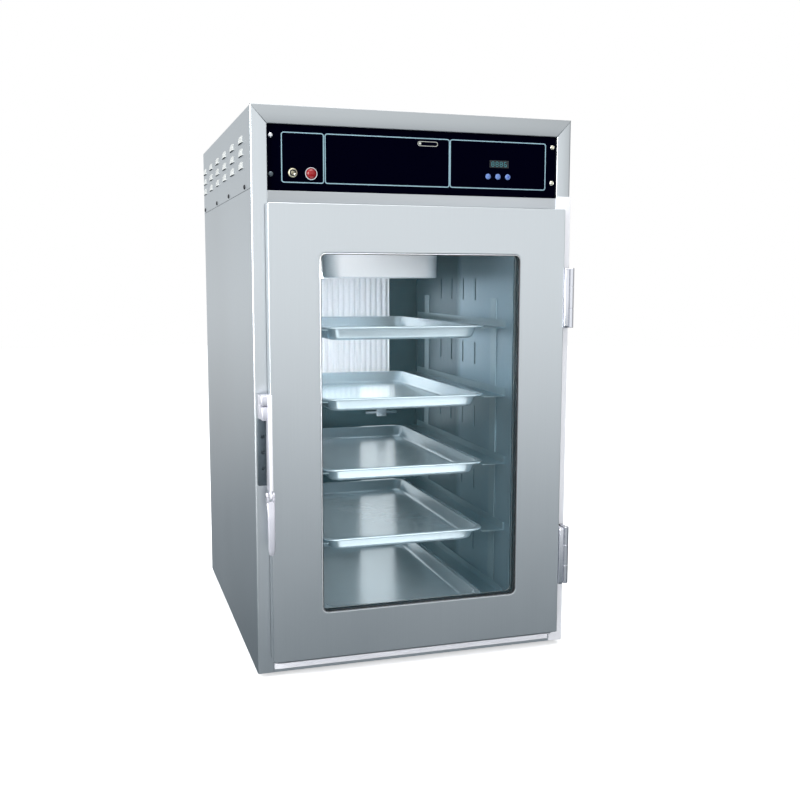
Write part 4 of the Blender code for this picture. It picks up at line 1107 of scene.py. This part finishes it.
def make_world():
    """White behind the object; for light and gloss, bright at the horizon and dim below it."""
    world = bpy.data.worlds.new("studio")
    bpy.context.scene.world = world
    world.use_nodes = True
    nodes, links = world.node_tree.nodes, world.node_tree.links
    nodes.clear()
    where = nodes.new("ShaderNodeTexCoord")
    split = nodes.new("ShaderNodeSeparateXYZ")
    links.new(where.outputs["Generated"], split.inputs["Vector"])
    height = map_range(world.node_tree, split.outputs["Z"], (-1.0, 1.0), (0.0, 1.0))
    ramp = nodes.new("ShaderNodeValToRGB")
    links.new(height, ramp.inputs["Fac"])
    low_tint, high_tint = (0.80, 0.95, 1.05), (0.97, 0.99, 1.00)
    stops = ((-0.60, 0.13, low_tint), (-0.35, 0.17, low_tint), (-0.22, 0.335, (0.88, 0.97, 1.04)),
             (-0.117, 0.665, high_tint), (-0.03, 0.93, high_tint), (0.07, 0.83, high_tint),
             (0.30, 0.70, high_tint), (1.0, 0.75, high_tint))
    elements = ramp.color_ramp.elements
    while len(elements) < len(stops):
        elements.new(0.5)
    for element, (place, tone, tint) in zip(elements, stops):
        element.position = (place + 1) / 2
        element.color = [tone * channel for channel in tint] + [1.0]
    light = nodes.new("ShaderNodeBackground")
    links.new(ramp.outputs["Color"], light.inputs["Color"])
    toward_back = map_range(world.node_tree, split.outputs["Y"], (-1.0, 1.0), (1.30, 0.74))
    toward_right = map_range(world.node_tree, split.outputs["X"], (0.55, 0.90), (1.0, 0.45))
    strength = nodes.new("ShaderNodeMath")
    strength.operation = "MULTIPLY"
    links.new(toward_back, strength.inputs[0])
    links.new(toward_right, strength.inputs[1])
    links.new(strength.outputs["Value"], light.inputs["Strength"])
    seen = nodes.new("ShaderNodeBackground")
    seen.inputs["Color"].default_value = (1.0, 1.0, 1.0, 1.0)
    path = nodes.new("ShaderNodeLightPath")
    choose = nodes.new("ShaderNodeMixShader")
    links.new(path.outputs["Is Camera Ray"], choose.inputs["Fac"])
    links.new(light.outputs["Background"], choose.inputs[1])
    links.new(seen.outputs["Background"], choose.inputs[2])
    out = nodes.new("ShaderNodeOutputWorld")
    links.new(choose.outputs["Shader"], out.inputs["Surface"])


def add_softbox(name, place, target, size, power, glossy=True):
    data = bpy.data.lights.new(name, "AREA")
    data.shape = "RECTANGLE"
    data.size, data.size_y = size
    data.energy = power
    lamp = bpy.data.objects.new(name, data)
    lamp.location = place
    lamp.rotation_euler = (Vector(target) - Vector(place)).to_track_quat("-Z", "Y").to_euler()
    lamp.visible_camera = False
    lamp.visible_glossy = glossy
    bpy.context.scene.collection.objects.link(lamp)


def make_lights():
    """Two softboxes outside, and small lamps in the cavity for the light that falls in it."""
    middle = (0.0, 0.0, 0.5)
    add_softbox("overhead_softbox", (-0.3, -0.3, 3.2), middle, (3.0, 3.0), 90)
    add_softbox("left_softbox", (-2.6, -1.4, 1.2), middle, (1.0, 2.0), 60)
    add_softbox("air_box_lamp", spot(-0.10, 0.060, 0.792), spot(-0.02, 0.206, 0.750),
                (0.20, 0.02), 0.23)
    sheet = (0.12, 0.03)
    add_softbox("upper_sheet_lamp", spot(-0.10, 0.250, 0.700), spot(-0.05, 0.630, 0.660),
                sheet, 1.25, False)
    add_softbox("lower_sheet_lamp", spot(-0.10, 0.250, 0.585), spot(-0.08, 0.630, 0.575),
                sheet, 2.5, False)
    for tier in range(5):
        rim = extent(f"pan_{tier + 1}", "height")[1]
        add_softbox(f"tier_{tier}_lamp", spot(0.0, 0.014, rim + 0.020),
                    spot(0.0, 0.40, rim - 0.010), (0.36, 0.05), 0.20)
        add_softbox(f"tier_{tier}_floor_lamp", spot(-0.05, 0.30, rim + 0.070),
                    spot(-0.05, 0.30, rim), (0.20, 0.40), 0.36, False)
    add_softbox("streak_lamp", spot(0.105, 0.626, 0.36), spot(0.105, 0.0, 0.36),
                (0.086, 0.64), 0.19)


def make_camera():
    data = bpy.data.cameras.new("camera")
    data.sensor_width = 36.0
    data.lens = 44.73
    camera = bpy.data.objects.new("camera", data)
    bpy.context.scene.collection.objects.link(camera)
    yaw, pitch, roll = math.radians(-17.345), math.radians(90 - 6.87), math.radians(0.093)
    turned = (Matrix.Rotation(yaw, 4, "Z") @ Matrix.Rotation(pitch, 4, "X")
              @ Matrix.Rotation(roll, 4, "Z"))
    camera.matrix_world = Matrix.Translation((-0.5694, -2.0453, 0.7128)) @ turned
    bpy.context.scene.camera = camera


make_camera()
make_feet()
make_side_panels()
make_top_cover()
make_face_frame()
make_front_strips()
make_shell_screws()
make_cavity()
make_controls()
make_door()
make_floor()
make_world()
make_lights()
bpy.context.scene.view_settings.view_transform = "Standard"
